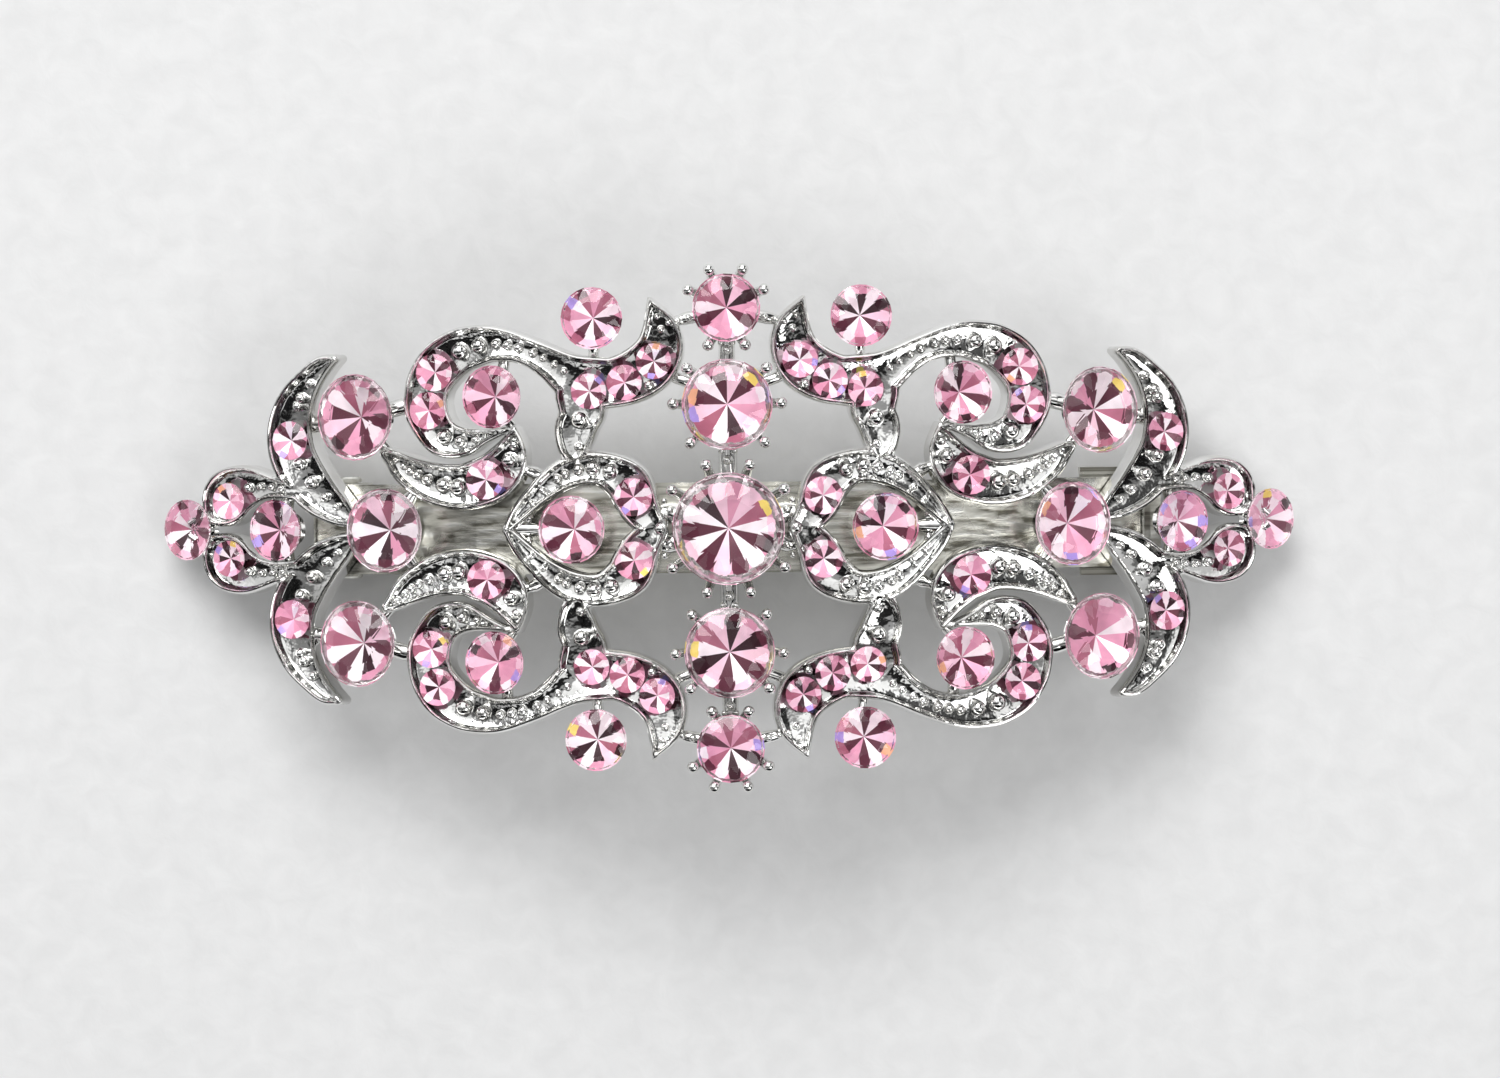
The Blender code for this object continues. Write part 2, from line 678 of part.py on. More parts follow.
def build_row(name, row, side, end, glass):
    """Small stones on one moulded base that lies in the trough."""
    centres = []
    for setting in row:
        along, across = placed(setting)
        centres.append((along * side, across * end))
    bottom = TROUGH_HEIGHT + SET_GAP / 2
    builder = bmesh.new()
    spine = np.array([(*centre, ROW_LINK_HALF) for centre in centres])
    outline = outline_of(spine)
    low = [builder.verts.new(on_arch(*spot, bottom) * MM) for spot in outline]
    high = [builder.verts.new(on_arch(*spot, bottom + ROW_LINK_DEPTH) * MM) for spot in outline]
    builder.faces.new(low)
    builder.faces.new(list(reversed(high)))
    for index in range(len(outline)):
        following = (index + 1) % len(outline)
        builder.faces.new((low[index], high[index], high[following], low[following]))
    base = add_object(name, builder, glass)
    for number, (setting, centre) in enumerate(zip(row, centres)):
        stone = bmesh.new()
        add_stone(stone, setting, arch_placement(*centre, setting.girdle), 8)
        combine(base, add_object(f"{name}_part_{number}", stone, glass), "UNION")


def build_rows(glass):
    for name, row in ROWS.items():
        for side, end in quarters(1, 1):
            build_row(f"stones_{name}_{side_name(side, end, row[0])}", row, side, end, glass)


# ---------------------------------------------------------------- clip

PLATE_TOP = ARCH_RADIUS - PLATE_GAP
PLATE_UNDER = PLATE_TOP - PLATE_THICKNESS
EAR_INNER = PLATE_WIDTH / 2 - EAR_THICKNESS
ARM_HALF_WIDTH = EAR_INNER - SIDE_CLEARANCE
HINGE_X = HINGE_INSET - PLATE_HALF_LENGTH
CURL_RADIUS = HINGE_PIN_RADIUS + PIN_CLEARANCE + CURL_WALL
LATCH_MIDDLE = PLATE_HALF_LENGTH - POST_LENGTH - LUG_THICKNESS / 2 - TAB_PLAY - TAB_LENGTH / 2
LUG_SPAN = TAB_LENGTH / 2 + TAB_PLAY
LATCH_PIN_HEIGHT = arch_height(PLATE_UNDER, LATCH_MIDDLE + LUG_SPAN) - LATCH_PIN_DROP
LATCH_PIN_Y = TAB_INNER + TAB_THICKNESS / 2
WINDOW_HALF_WIDTH = TAB_INNER + TAB_THICKNESS + WINDOW_PLAY
SPRING_RADIUS = PLATE_UNDER - LAYER_GAP - SPRING_THICKNESS / 2
PEG_X = LATCH_MIDDLE - LUG_SPAN - LUG_THICKNESS - SIDE_CLEARANCE - SPRING_FLAT / 2
PEG_ALONG = math.asin(PEG_X / SPRING_RADIUS) * (ARCH_RADIUS + SETTING_LIFT)


def build_plate(steel):
    """Arched strip with rolled ends, hinge ears, latch posts and lugs."""
    reach = PLATE_HALF_LENGTH - ROLL_RADIUS
    middle = PLATE_TOP - PLATE_THICKNESS / 2
    pieces = 22

    def strip(radius, low, high):
        spots = []
        for index in range(pieces + 1):
            x = low + (high - low) * index / pieces
            spots.append((x, arch_height(radius, x)))
        return spots

    roll_centre_radius = PLATE_TOP - ROLL_RADIUS
    slope = math.degrees(math.asin(reach / roll_centre_radius))
    underside = math.degrees(math.asin((ROLL_RADIUS - PLATE_THICKNESS) / ROLL_RADIUS))
    roll_centre = (reach, arch_height(roll_centre_radius, reach))
    right_roll = arc(roll_centre, ROLL_RADIUS, 90 - slope, -180 - underside - slope, 12)
    left_roll = [(-x, z) for x, z in reversed(right_roll)]
    straight = reach - 2 * ROLL_RADIUS
    top = strip(PLATE_TOP, -straight, straight)
    under = strip(PLATE_UNDER, straight, -straight)
    builder = bmesh.new()
    half = PLATE_WIDTH / 2
    sweep_profile(builder, top + right_roll + under + left_roll, -half, half)
    plate = add_object("clip_plate", builder, steel, True)

    additions = bmesh.new()
    ear_start = -PLATE_HALF_LENGTH + 0.4
    for inner in (-half, EAR_INNER):
        outline = [(ear_start, arch_height(middle, ear_start)),
                   (ear_start + 0.3, HINGE_HEIGHT),
                   (HINGE_X - EAR_FOOT / 2, 0.0), (HINGE_X + EAR_FOOT / 2, 0.0),
                   (HINGE_X + EAR_FOOT / 2 + 0.6, HINGE_HEIGHT),
                   (ear_start + EAR_LENGTH, arch_height(middle, ear_start + EAR_LENGTH))]
        sweep_profile(additions, outline, inner, inner + EAR_THICKNESS)
        post_end = PLATE_HALF_LENGTH - 0.4
        post_start = PLATE_HALF_LENGTH - POST_LENGTH
        outline = [(post_start, arch_height(middle, post_start)), (post_start, 0.0), (post_end, 0.0),
                   (post_end, arch_height(middle, post_end))]
        sweep_profile(additions, outline, inner, inner + EAR_THICKNESS)
    for start in (LATCH_MIDDLE - LUG_SPAN - LUG_THICKNESS, LATCH_MIDDLE + LUG_SPAN):
        stop = start + LUG_THICKNESS
        foot = arch_height(PLATE_UNDER, LATCH_MIDDLE) - LUG_DROP
        outline = [(start, arch_height(middle, start)), (start, foot), (stop, foot),
                   (stop, arch_height(middle, stop))]
        sweep_profile(additions, outline, -LUG_HALF_WIDTH, LUG_HALF_WIDTH)
    combine(plate, add_object("plate_additions", additions, steel), "UNION")

    holes = bmesh.new()
    add_rod(holes, (HINGE_X, -PLATE_WIDTH, HINGE_HEIGHT), (HINGE_X, PLATE_WIDTH, HINGE_HEIGHT),
            HINGE_PIN_RADIUS + PIN_CLEARANCE)
    for side in (1, -1):
        y = side * LATCH_PIN_Y
        add_rod(holes, (LATCH_MIDDLE - LUG_SPAN - 1.5, y, LATCH_PIN_HEIGHT),
                (LATCH_MIDDLE + LUG_SPAN + 1.0, y, LATCH_PIN_HEIGHT), LATCH_PIN_RADIUS + PIN_CLEARANCE, 10)
        add_rod(holes, on_arch(side * PEG_ALONG, 0, -2.2), on_arch(side * PEG_ALONG, 0, 0.4),
                PEG_RADIUS + PIN_CLEARANCE, 12)
    combine(plate, add_object("plate_holes", holes, steel), "DIFFERENCE")


def build_hinge_pin(steel):
    """Pin across the ears, with a head outside each ear."""
    radius, head = HINGE_PIN_RADIUS, HINGE_PIN_RADIUS + 0.35
    inner = PLATE_WIDTH / 2 + LAYER_GAP
    outer = inner + PIN_HEAD
    profile = [(0, -outer), (head * 0.8, -outer), (head, -outer + 0.15), (head, -inner), (radius, -inner),
               (radius, inner), (head, inner), (head, outer - 0.15), (head * 0.8, outer), (0, outer)]
    builder = bmesh.new()
    add_turned(builder, profile, Matrix(), 14)
    pin = add_object("hinge_pin", builder, steel, True)
    pin.matrix_world = (Matrix.Translation(Vector((HINGE_X, 0, HINGE_HEIGHT)) * MM)
                        @ Matrix.Rotation(math.radians(-90), 4, "X"))


def arm_height(x, lift):
    """Height of the arm's shallow arch, lift above its underside."""
    start, end = HINGE_X, LATCH_MIDDLE
    share = (2 * x - start - end) / (end - start)
    return HINGE_HEIGHT - CURL_RADIUS + lift + ARM_RISE * (1 - share * share)


def build_arm(steel):
    """Arched strip curled round the hinge pin, with a window that the squeeze tabs pass through."""
    tail = PLATE_HALF_LENGTH + 0.9
    pieces = 18
    upper, lower = [], []
    for index in range(pieces + 1):
        x = HINGE_X + (tail - HINGE_X) * index / pieces
        lower.append((x, arm_height(x, 0)))
        upper.append((x, arm_height(x, ARM_THICKNESS)))
    lip_height = arm_height(tail, ARM_THICKNESS / 2)
    lip = [(tail + ARM_LIP, lip_height - ARM_THICKNESS / 4), (tail + ARM_LIP, lip_height + ARM_THICKNESS / 4)]
    builder = bmesh.new()
    sweep_profile(builder, lower + lip + upper[::-1], -ARM_HALF_WIDTH, ARM_HALF_WIDTH)
    arm = add_object("clasp_arm", builder, steel, True)

    curl = bmesh.new()
    add_rod(curl, (HINGE_X, -ARM_HALF_WIDTH, HINGE_HEIGHT), (HINGE_X, ARM_HALF_WIDTH, HINGE_HEIGHT),
            CURL_RADIUS, 18)
    combine(arm, add_object("arm_curl", curl, steel), "UNION")
    openings = bmesh.new()
    add_rod(openings, (HINGE_X, -PLATE_WIDTH, HINGE_HEIGHT), (HINGE_X, PLATE_WIDTH, HINGE_HEIGHT),
            HINGE_PIN_RADIUS + PIN_CLEARANCE)
    start = LATCH_MIDDLE - TAB_LENGTH / 2 - 2 * TAB_PLAY
    stop = LATCH_MIDDLE + TAB_LENGTH / 2 + 2 * TAB_PLAY
    outline = [(start, -1.0), (stop, -1.0), (stop, HINGE_HEIGHT + 3), (start, HINGE_HEIGHT + 3)]
    sweep_profile(openings, outline, -WINDOW_HALF_WIDTH, WINDOW_HALF_WIDTH)
    combine(arm, add_object("arm_openings", openings, steel), "DIFFERENCE")


def build_bow_spring(steel):
    """Thin strip riveted under the plate at both ends and bowed down in the middle."""
    flat_end = PEG_X + SPRING_FLAT / 2
    flat_start = PEG_X - SPRING_FLAT / 2
    end_height = arch_height(SPRING_RADIUS, flat_start)
    end_slope = -flat_start / (end_height - ARCH_AXIS_HEIGHT)
    middle_height = end_height - SPRING_SAG

    def height(x):
        t = abs(x) / flat_start
        if t >= 1:
            return arch_height(SPRING_RADIUS, abs(x))
        rise = 3 * t ** 2 - 2 * t ** 3
        return middle_height + SPRING_SAG * rise + end_slope * flat_start * (t ** 3 - t ** 2)

    pieces = 32
    spots = [-flat_end + 2 * flat_end * index / pieces for index in range(pieces + 1)]
    half = SPRING_THICKNESS / 2
    outline = [(x, height(x) - half) for x in spots] + [(x, height(x) + half) for x in reversed(spots)]
    builder = bmesh.new()
    sweep_profile(builder, outline, -SPRING_WIDTH / 2, SPRING_WIDTH / 2)
    spring = add_object("bow_spring", builder, steel, True)
    holes = bmesh.new()
    for side in (1, -1):
        add_rod(holes, on_arch(side * PEG_ALONG, 0, -3.0), on_arch(side * PEG_ALONG, 0, 0.4),
                PEG_RADIUS + PIN_CLEARANCE, 12)
    combine(spring, add_object("spring_holes", holes, steel), "DIFFERENCE")


def build_pegs(steel):
    """Rivet pegs from the casting's back through the plate and the spring's ends."""
    seat = -(ARCH_RADIUS - PLATE_UNDER) - LAYER_GAP - SPRING_THICKNESS - LAYER_GAP
    head = PEG_HEAD_RADIUS
    profile = [(0, seat - PEG_HEAD_THICKNESS), (head * 0.7, seat - PEG_HEAD_THICKNESS),
               (head, seat - PEG_HEAD_THICKNESS * 0.4), (head, seat), (PEG_RADIUS, seat),
               (PEG_RADIUS, -SET_GAP), (0, -SET_GAP)]
    for side, name in ((-1, "mount_peg_left"), (1, "mount_peg_right")):
        builder = bmesh.new()
        add_turned(builder, profile, Matrix(), 12)
        peg = add_object(name, builder, steel, True)
        peg.matrix_world = arch_placement(side * PEG_ALONG, 0, 0)


def build_latch(steel):
    """Two squeeze tabs on their own pins, one on each side of the clip's middle."""
    outer = TAB_INNER + TAB_THICKNESS
    neck = (HINGE_HEIGHT + LATCH_PIN_HEIGHT) / 2 + 0.3
    spread = math.degrees(math.asin(TAB_THICKNESS / 2 / TAB_BARREL))
    barrel = arc((LATCH_PIN_Y, LATCH_PIN_HEIGHT), TAB_BARREL, -90 + spread, 270 - spread, 12)
    outline = [(TAB_INNER, TAB_FOOT), (outer + TAB_BULGE, TAB_FOOT), (outer + TAB_BULGE, TAB_FOOT + 0.4),
               (outer, TAB_FOOT + 0.7), (outer, neck), (WING_REACH - WING_THICKNESS, neck),
               (WING_REACH - WING_THICKNESS, neck + WING_NECK / 2 - WING_HEIGHT / 2),
               (WING_REACH, neck + WING_NECK / 2 - WING_HEIGHT / 2),
               (WING_REACH, neck + WING_NECK / 2 + WING_HEIGHT / 2),
               (WING_REACH - WING_THICKNESS, neck + WING_NECK / 2 + WING_HEIGHT / 2),
               (WING_REACH - WING_THICKNESS, neck + WING_NECK), (outer, neck + WING_NECK), *barrel]
    low, high = LATCH_MIDDLE - TAB_LENGTH / 2, LATCH_MIDDLE + TAB_LENGTH / 2
    for side, name in ((1, "back"), (-1, "front")):
        builder = bmesh.new()
        sweep_profile(builder, [(side * y, z) for y, z in outline], low, high, "X")
        tab = add_object(f"latch_tab_{name}", builder, steel, True)
        bore = bmesh.new()
        y = side * LATCH_PIN_Y
        add_rod(bore, (low - 1, y, LATCH_PIN_HEIGHT), (high + 1, y, LATCH_PIN_HEIGHT),
                LATCH_PIN_RADIUS + PIN_CLEARANCE, 10)
        combine(tab, add_object(f"tab_bore_{name}", bore, steel), "DIFFERENCE")
        pin = bmesh.new()
        reach = LUG_SPAN + LUG_THICKNESS
        add_rod(pin, (LATCH_MIDDLE - reach, y, LATCH_PIN_HEIGHT),
                (LATCH_MIDDLE + reach, y, LATCH_PIN_HEIGHT), LATCH_PIN_RADIUS, 10)
        add_object(f"latch_pin_{name}", pin, steel, True)


def main():
    clear_scene()
    silver = make_material("casting_metal", (0.80, 0.80, 0.79), 1.0, 0.10)
    steel = make_material("clip_steel", (0.62, 0.61, 0.58), 1.0, 0.32)
    glass = make_material("stone_glass", (0.84, 0.50, 0.62), 0.0, 0.05)
    casting = bmesh.new()
    terrace(draw_casting(), casting)
    add_object("ornament_casting", casting, silver)
    build_stones(glass)
    build_rows(glass)
    build_plate(steel)
    build_hinge_pin(steel)
    build_arm(steel)
    build_bow_spring(steel)
    build_pegs(steel)
    build_latch(steel)


main()
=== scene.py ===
"""Looks of the rhinestone hair clip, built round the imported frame.

Lengths are in millimetres up to the point where a mesh is made. The ornament is drawn flat, as
(along, across, height above the casting's back), and wrapped over the same arch as in the CAD.
"""

import math
import random

import bpy
import numpy as np
from mathutils import Matrix, Vector
from mathutils.geometry import delaunay_2d_cdt


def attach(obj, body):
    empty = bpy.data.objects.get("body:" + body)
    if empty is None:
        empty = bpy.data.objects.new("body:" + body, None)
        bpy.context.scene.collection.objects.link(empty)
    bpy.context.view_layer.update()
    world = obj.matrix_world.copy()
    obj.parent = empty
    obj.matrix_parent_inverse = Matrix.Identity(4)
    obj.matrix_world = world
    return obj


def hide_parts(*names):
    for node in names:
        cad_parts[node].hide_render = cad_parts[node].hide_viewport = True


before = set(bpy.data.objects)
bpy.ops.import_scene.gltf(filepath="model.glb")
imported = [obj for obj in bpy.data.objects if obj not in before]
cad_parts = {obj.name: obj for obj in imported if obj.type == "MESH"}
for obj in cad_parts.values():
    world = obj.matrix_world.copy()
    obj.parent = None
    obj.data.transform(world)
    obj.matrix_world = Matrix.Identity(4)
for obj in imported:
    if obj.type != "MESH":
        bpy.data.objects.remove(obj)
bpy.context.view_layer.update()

MM = 0.001

# Arch, as in the CAD
ARCH_RADIUS = 88.0
SETTING_LIFT = 2.0
TIP_CLEARANCE = 0.35
ORNAMENT_LENGTH = 103.9
TIP_REACH = ORNAMENT_LENGTH / 2 / (ARCH_RADIUS + SETTING_LIFT)
ARCH_AXIS_HEIGHT = ARCH_RADIUS * (1 - math.cos(TIP_REACH)) + TIP_CLEARANCE - ARCH_RADIUS

# Bands, upper right quarter: (along, across, half width)
OUTER_CRESCENT = [(34.1, 14.5, 0.35), (35.4, 13.9, 0.9), (36.7, 12.6, 1.25), (37.8, 11.0, 1.7),
                  (38.4, 9.3, 2.05), (38.5, 7.6, 2.25), (38.1, 6.0, 2.25), (37.1, 4.4, 2.15),
                  (35.7, 2.9, 1.85), (34.1, 1.7, 1.35), (32.9, 0.9, 0.75)]
PETAL = [(45.8, 1.9, 1.6), (44.9, 2.7, 2.4), (43.9, 3.3, 2.2), (42.8, 3.6, 1.85), (41.6, 3.7, 1.4),
         (40.2, 3.6, 1.05), (38.8, 3.4, 0.9), (37.8, 3.2, 0.8)]
SCROLL = [(18.7, 8.4, 0.25), (20.8, 7.85, 0.7), (22.7, 7.4, 1.3), (24.4, 7.8, 1.7), (25.3, 8.9, 1.85),
          (25.8, 10.2, 2.0), (25.8, 11.4, 2.0), (25.4, 12.7, 2.05), (24.4, 14.0, 2.1), (22.9, 15.0, 1.95),
          (21.5, 15.4, 1.8), (20.2, 15.6, 1.6), (19.0, 15.5, 1.45), (17.8, 15.25, 1.3), (16.3, 14.7, 1.3),
          (14.7, 13.8, 1.5), (13.0, 12.75, 1.95), (11.2, 12.3, 2.2), (9.6, 12.3, 2.15), (8.1, 12.7, 2.25),
          (6.7, 13.5, 2.3), (5.8, 14.6, 2.15), (5.5, 15.8, 1.85), (5.7, 17.2, 1.3), (6.5, 19.3, 0.15)]
STEM = [(12.4, 11.3, 2.2), (12.3, 10.1, 2.05), (12.5, 9.35, 1.85), (12.9, 8.3, 1.8), (13.05, 7.1, 1.4),
        (12.95, 6.3, 1.0)]
LOWER_CRESCENT = [(18.0, 8.5, 0.25), (18.2, 7.3, 0.95), (18.5, 6.2, 1.55), (19.1, 5.2, 1.95),
                  (20.0, 4.4, 2.1), (21.1, 3.95, 2.1), (22.5, 3.6, 2.0), (24.0, 3.65, 1.9),
                  (25.5, 4.0, 1.75), (26.7, 4.5, 1.55), (27.9, 5.2, 1.25), (28.8, 5.95, 0.85),
                  (29.6, 6.5, 0.5)]
MEDALLION = [(18.8, 0.0, 0.5), (17.6, 1.5, 0.85), (16.2, 2.9, 1.05), (15.0, 3.9, 1.25), (13.6, 4.7, 1.4),
             (12.0, 5.1, 1.45), (10.5, 5.0, 1.5), (9.3, 4.45, 1.75), (8.4, 3.75, 1.95), (7.95, 2.9, 1.95),
             (7.5, 1.85, 1.75), (6.95, 1.0, 1.5), (6.1, 0.0, 1.1)]
BANDS = {"outer_crescent": OUTER_CRESCENT, "petal": PETAL, "scroll": SCROLL, "stem": STEM,
         "lower_crescent": LOWER_CRESCENT, "medallion": MEDALLION}

# Polished beads on a band's floor: (place along the band, radius)
BEADS = {
    "outer_crescent": [(3.5, 0.42), (5.0, 0.5), (5.75, 0.5), (10.85, 0.59), (12.8, 0.59), (14.6, 0.42),
                       (15.9, 0.33)],
    "petal": [(3.3, 0.42), (4.5, 0.33), (5.65, 0.33), (6.6, 0.33)],
    "scroll": [(2.2, 0.25), (3.1, 0.33), (4.4, 0.5), (5.9, 0.67), (14.75, 0.75), (16.5, 0.67),
               (18.0, 0.42), (19.0, 0.42), (20.0, 0.42), (21.3, 0.38), (22.3, 0.33), (23.4, 0.33),
               (24.4, 0.33), (35.6, 0.33), (36.7, 0.25)],
    "stem": [(2.24, 0.75)],
    "lower_crescent": [(1.45, 0.42), (2.8, 0.67), (8.1, 0.75), (9.4, 0.67), (10.95, 0.5), (11.95, 0.42),
                       (12.7, 0.42), (13.4, 0.33), (14.3, 0.33)],
    "medallion": [(3.0, 0.25), (4.4, 0.33), (6.0, 0.42), (6.8, 0.42), (8.0, 0.5), (9.25, 0.67), (10.8, 0.67)],
}

# Section of a band: (distance from its edge, height above the back)
RIM_SECTION = [(0.0, 1.35), (0.03, 1.66), (0.1, 1.88), (0.2, 1.99), (0.3, 2.0), (0.4, 1.9), (0.48, 1.68),
               (0.53, 1.3), (0.58, 1.08), (0.7, 1.0)]
FLOOR_HEIGHT = 1.0
RECESS_DEPTH = 0.5  # from here inward a band's floor takes the recess silver, darkened as painted shade and with a stronger ripple
FIELD_ALONG = (3.5, 52.5)  # one end's bands lie between these, and within FIELD_ACROSS of the middle line
FIELD_ACROSS = 21.0
FIELD_PITCH = 0.12
DISC_STEP = 0.1
CONTOUR_STEP = 0.24

# Plain links between settings and bands, upper right quarter
LINKS = [
    [(0.0, 4.0, 0.8), (0.0, 8.0, 0.75)],
    [(0.0, 13.2, 0.7), (0.0, 17.0, 0.65)],
    [(1.8, 17.9, 0.55), (6.0, 17.0, 0.5)],
    [(2.6, 12.0, 0.5), (6.6, 13.4, 0.5)],
    [(3.6, 0.9, 0.85), (7.4, 1.9, 0.8)],
    [(11.2, 16.4, 0.45), (11.4, 14.3, 0.5)],
    [(16.2, 0.0, 0.5), (18.0, 0.0, 0.9)],
    [(18.6, 5.4, 0.6), (15.2, 4.2, 0.6)],
    [(18.5, 8.6, 0.45), (19.6, 10.0, 0.45)],
    [(19.3, 12.6, 0.5), (19.1, 14.6, 0.5)],
    [(29.9, 10.0, 0.7), (26.6, 10.8, 0.7)],
    [(31.0, 8.0, 0.6), (29.2, 6.2, 0.5)],
    [(34.2, 9.2, 0.7), (37.2, 8.9, 0.7)],
    [(28.2, 2.0, 0.6), (26.9, 3.8, 0.6)],
    [(39.6, 1.2, 0.6), (39.2, 3.3, 0.6)],
    [(48.6, 0.5, 0.5), (46.3, 2.0, 0.6)],
]
LINK_HEIGHT = 1.4
LINK_STEP = 0.8
LINK_ENTRY = 0.1  # depth inside a band from which a link is sunk
SUNKEN_RADIUS = 0.42

# Beads that stand on links, upper right quarter: (along, across, height, radius)
LOOSE_BEADS = [(5.7, 0.0, 1.5, 0.55), (4.9, 1.5, 1.3, 0.36), (6.2, 1.9, 1.3, 0.32), (5.4, 2.3, 1.3, 0.28),
               (0.0, 5.7, 1.6, 0.45), (0.55, 6.5, 1.4, 0.3), (0.0, 14.9, 1.6, 0.42), (0.5, 15.5, 1.4, 0.28),
               (3.2, 17.6, 1.3, 0.34), (4.1, 17.4, 1.3, 0.3), (4.9, 17.2, 1.3, 0.26),
               (4.4, 12.7, 1.2, 0.28), (6.6, 12.0, 1.5, 0.42), (17.0, 1.0, 1.3, 0.4), (16.6, 2.0, 1.2, 0.32),
               (12.6, 6.9, 1.5, 0.42), (18.55, 8.0, 1.5, 0.3), (40.6, 2.0, 1.2, 0.3)]


class Setting:
    """One kind of stone: place in the upper right quarter, diameter, style and girdle height."""

    def __init__(self, name, along, across, diameter, style, girdle=1.78):
        self.name = name
        self.along = along
        self.across = across
        self.radius = diameter / 2
        self.style = style
        self.girdle = girdle


SETTINGS = [
    Setting("centre", 0.0, 0.0, 9.4, "claw", 4.2),
    Setting("column_inner", 0.0, 10.35, 7.6, "claw", 3.7),
    Setting("column_outer", 0.0, 18.4, 5.7, "claw", 3.2),
    Setting("scroll_crest", 11.25, 17.65, 5.2, "cup", 2.4),
    Setting("spiral", 19.85, 11.15, 5.3, "cup", 2.4),
    Setting("medallion", 13.1, 0.0, 5.7, "cup", 2.6),
    Setting("shoulder", 31.75, 9.55, 7.3, "cup", 3.0),
    Setting("end", 29.2, 0.0, 7.1, "cup", 3.0),
    Setting("trefoil", 39.65, 0.0, 5.2, "cup", 2.4),
    Setting("tip", 48.5, 0.0, 5.2, "cup", 2.4),
    Setting("lower_crescent", 20.65, 4.2, 3.3, "small"),
    Setting("medallion_small", 8.0, 2.65, 3.2, "small"),
    Setting("crescent_small", 38.45, 7.6, 3.3, "small"),
    Setting("petal_small", 44.65, 2.45, 3.1, "small"),
]
ROWS = {
    "scroll_row": [(6.15, 14.0, 3.0), (8.65, 12.25, 3.0), (11.65, 11.55, 3.0)],
    "spiral_row": [(25.05, 13.25, 3.15), (25.65, 10.05, 3.15)],
}

# Outward lean of stones beyond the arch's own, in degrees
LEAN = {"spiral": 9.0, "end": 6.0, "trefoil": 6.0, "tip": 6.0, "medallion": 4.0, "shoulder": -8.0}

# Prongs of the claw settings: (clock angles in degrees from +Y, ball centre outside the girdle)
PRONGS = {"centre": ((18.5, 54.5), 0.9), "column_inner": ((47.0, 89.0, 136.0), 0.62),
          "column_outer": ((23.5, 64.5, 154.0), 0.62)}
BALL_RADIUS = 0.5
LEG_RADIUS = 0.34

# Stones
CROWN_SHARE = 0.1
TABLE_SHARE = 0.54
BREAK_SHARE = 0.79  # middle points of the crown over the girdle's radius
BREAK_RISE = 0.62  # their height over the crown's
GIRDLE_DEPTH = 0.12
PAVILION_SLOPE = 0.66  # pavilion depth over the girdle's radius
SMALL_FACETS, MIDDLE_FACETS, LARGE_FACETS = 10, 12, 14  # wedges round a stone
LARGE_RADIUS = 4.0
INNER_SHARE = 0.66  # where a wedge's two pavilion facets meet, over the girdle's radius
INNER_SINK = 0.35  # their depth there over the pavilion's
SEED = 7

# Foil slots to choose from, each as often as it is listed (see STONE_MATERIALS). The foils are lit and shaded
# copies of one rose foil: the bright ones are painted reflections of the lamps, the dark ones painted
# reflections of the dark room, and the flash ones painted spectral fire.
PAINTED_BRIGHT_REFLECTION_FOILS = [1, 1, 1, 2, 2, 3]
PAINTED_DARK_REFLECTION_FOILS = [3, 4, 5, 5, 6]
EDGE_FOILS = [2, 3, 3, 4]
PAINTED_FIRE_FOILS = [7, 8, 8, 9]
PAINTED_FIRE_SHARE = 0.06
SAME_FOIL_SHARE = 0.45  # wedges whose two facets share a foil

# Stage and camera, in metres
FLOOR_REACH = 1.5
FLOOR_GAP = 0.00002
CAMERA_DISTANCE = 0.5
FRAME_WIDTH = 0.1255  # seen across the picture at the target
CAMERA_TARGET = (0.00193, -0.00095, 0.016)
CAMERA_TILT = 1.6  # degrees it stands off straight above, toward +Y
CAMERA_ROLL = -0.6  # degrees


# ---------------------------------------------------------------- arch and meshes

def on_arch(spots):
    """Points (along, across, height), in mm, wrapped over the arch, in metres."""
    spots = np.asarray(spots, float)
    angle = spots[:, 0] / (ARCH_RADIUS + SETTING_LIFT)
    radius = ARCH_RADIUS + spots[:, 2]
    return np.stack([radius * np.sin(angle), spots[:, 1],
                     ARCH_AXIS_HEIGHT + radius * np.cos(angle)], axis=1) * MM


def standing(along, across, height, lean=0.0):
    """Matrix, in metres, that stands a piece on the arch, leant outward by so many degrees more."""
    place = Matrix.Translation(Vector(on_arch([(along, across, height)])[0]))
    turn = along / (ARCH_RADIUS + SETTING_LIFT) + math.copysign(math.radians(lean), along)
    return place @ Matrix.Rotation(turn, 4, "Y")


class Shape:
    """Gathers the vertices and faces of one piece, in metres."""

    def __init__(self):
        self.spots = []
        self.faces = []
        self.slots = []

    def add(self, spots, faces, slot=0):
        first = len(self.spots)
        self.spots.extend(tuple(map(float, spot)) for spot in spots)
        self.faces.extend(tuple(first + int(index) for index in face) for face in faces)
        self.slots.extend([slot] * len(faces))

    def add_grid(self, rows):
        """Closed tube from rings of points, each ring as long as the others."""
        count = len(rows[0])
        spots = [spot for row in rows for spot in row]
        faces = []
        for row in range(len(rows) - 1):
            for index in range(count):
                following = (index + 1) % count
                faces.append((row * count + index, row * count + following,
                              (row + 1) * count + following, (row + 1) * count + index))
        faces.append(tuple(reversed(range(count))))
        faces.append(tuple(range((len(rows) - 1) * count, len(rows) * count)))
        self.add(spots, faces)

    def build(self, name, materials, sharp=40.0):
        mesh = bpy.data.meshes.new(name)
        mesh.from_pydata(self.spots, [], self.faces)
        mesh.validate()
        for material in materials:
            mesh.materials.append(material)
        if len(materials) > 1:
            mesh.polygons.foreach_set("material_index", self.slots)
        if sharp:
            mesh.shade_smooth()
            mesh.set_sharp_from_angle(angle=math.radians(sharp))
        item = bpy.data.objects.new(name, mesh)
        bpy.context.scene.collection.objects.link(item)
        return item


def ride(item, body, slot, *nodes):
    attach(item, body)
    if nodes:
        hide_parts(*nodes)


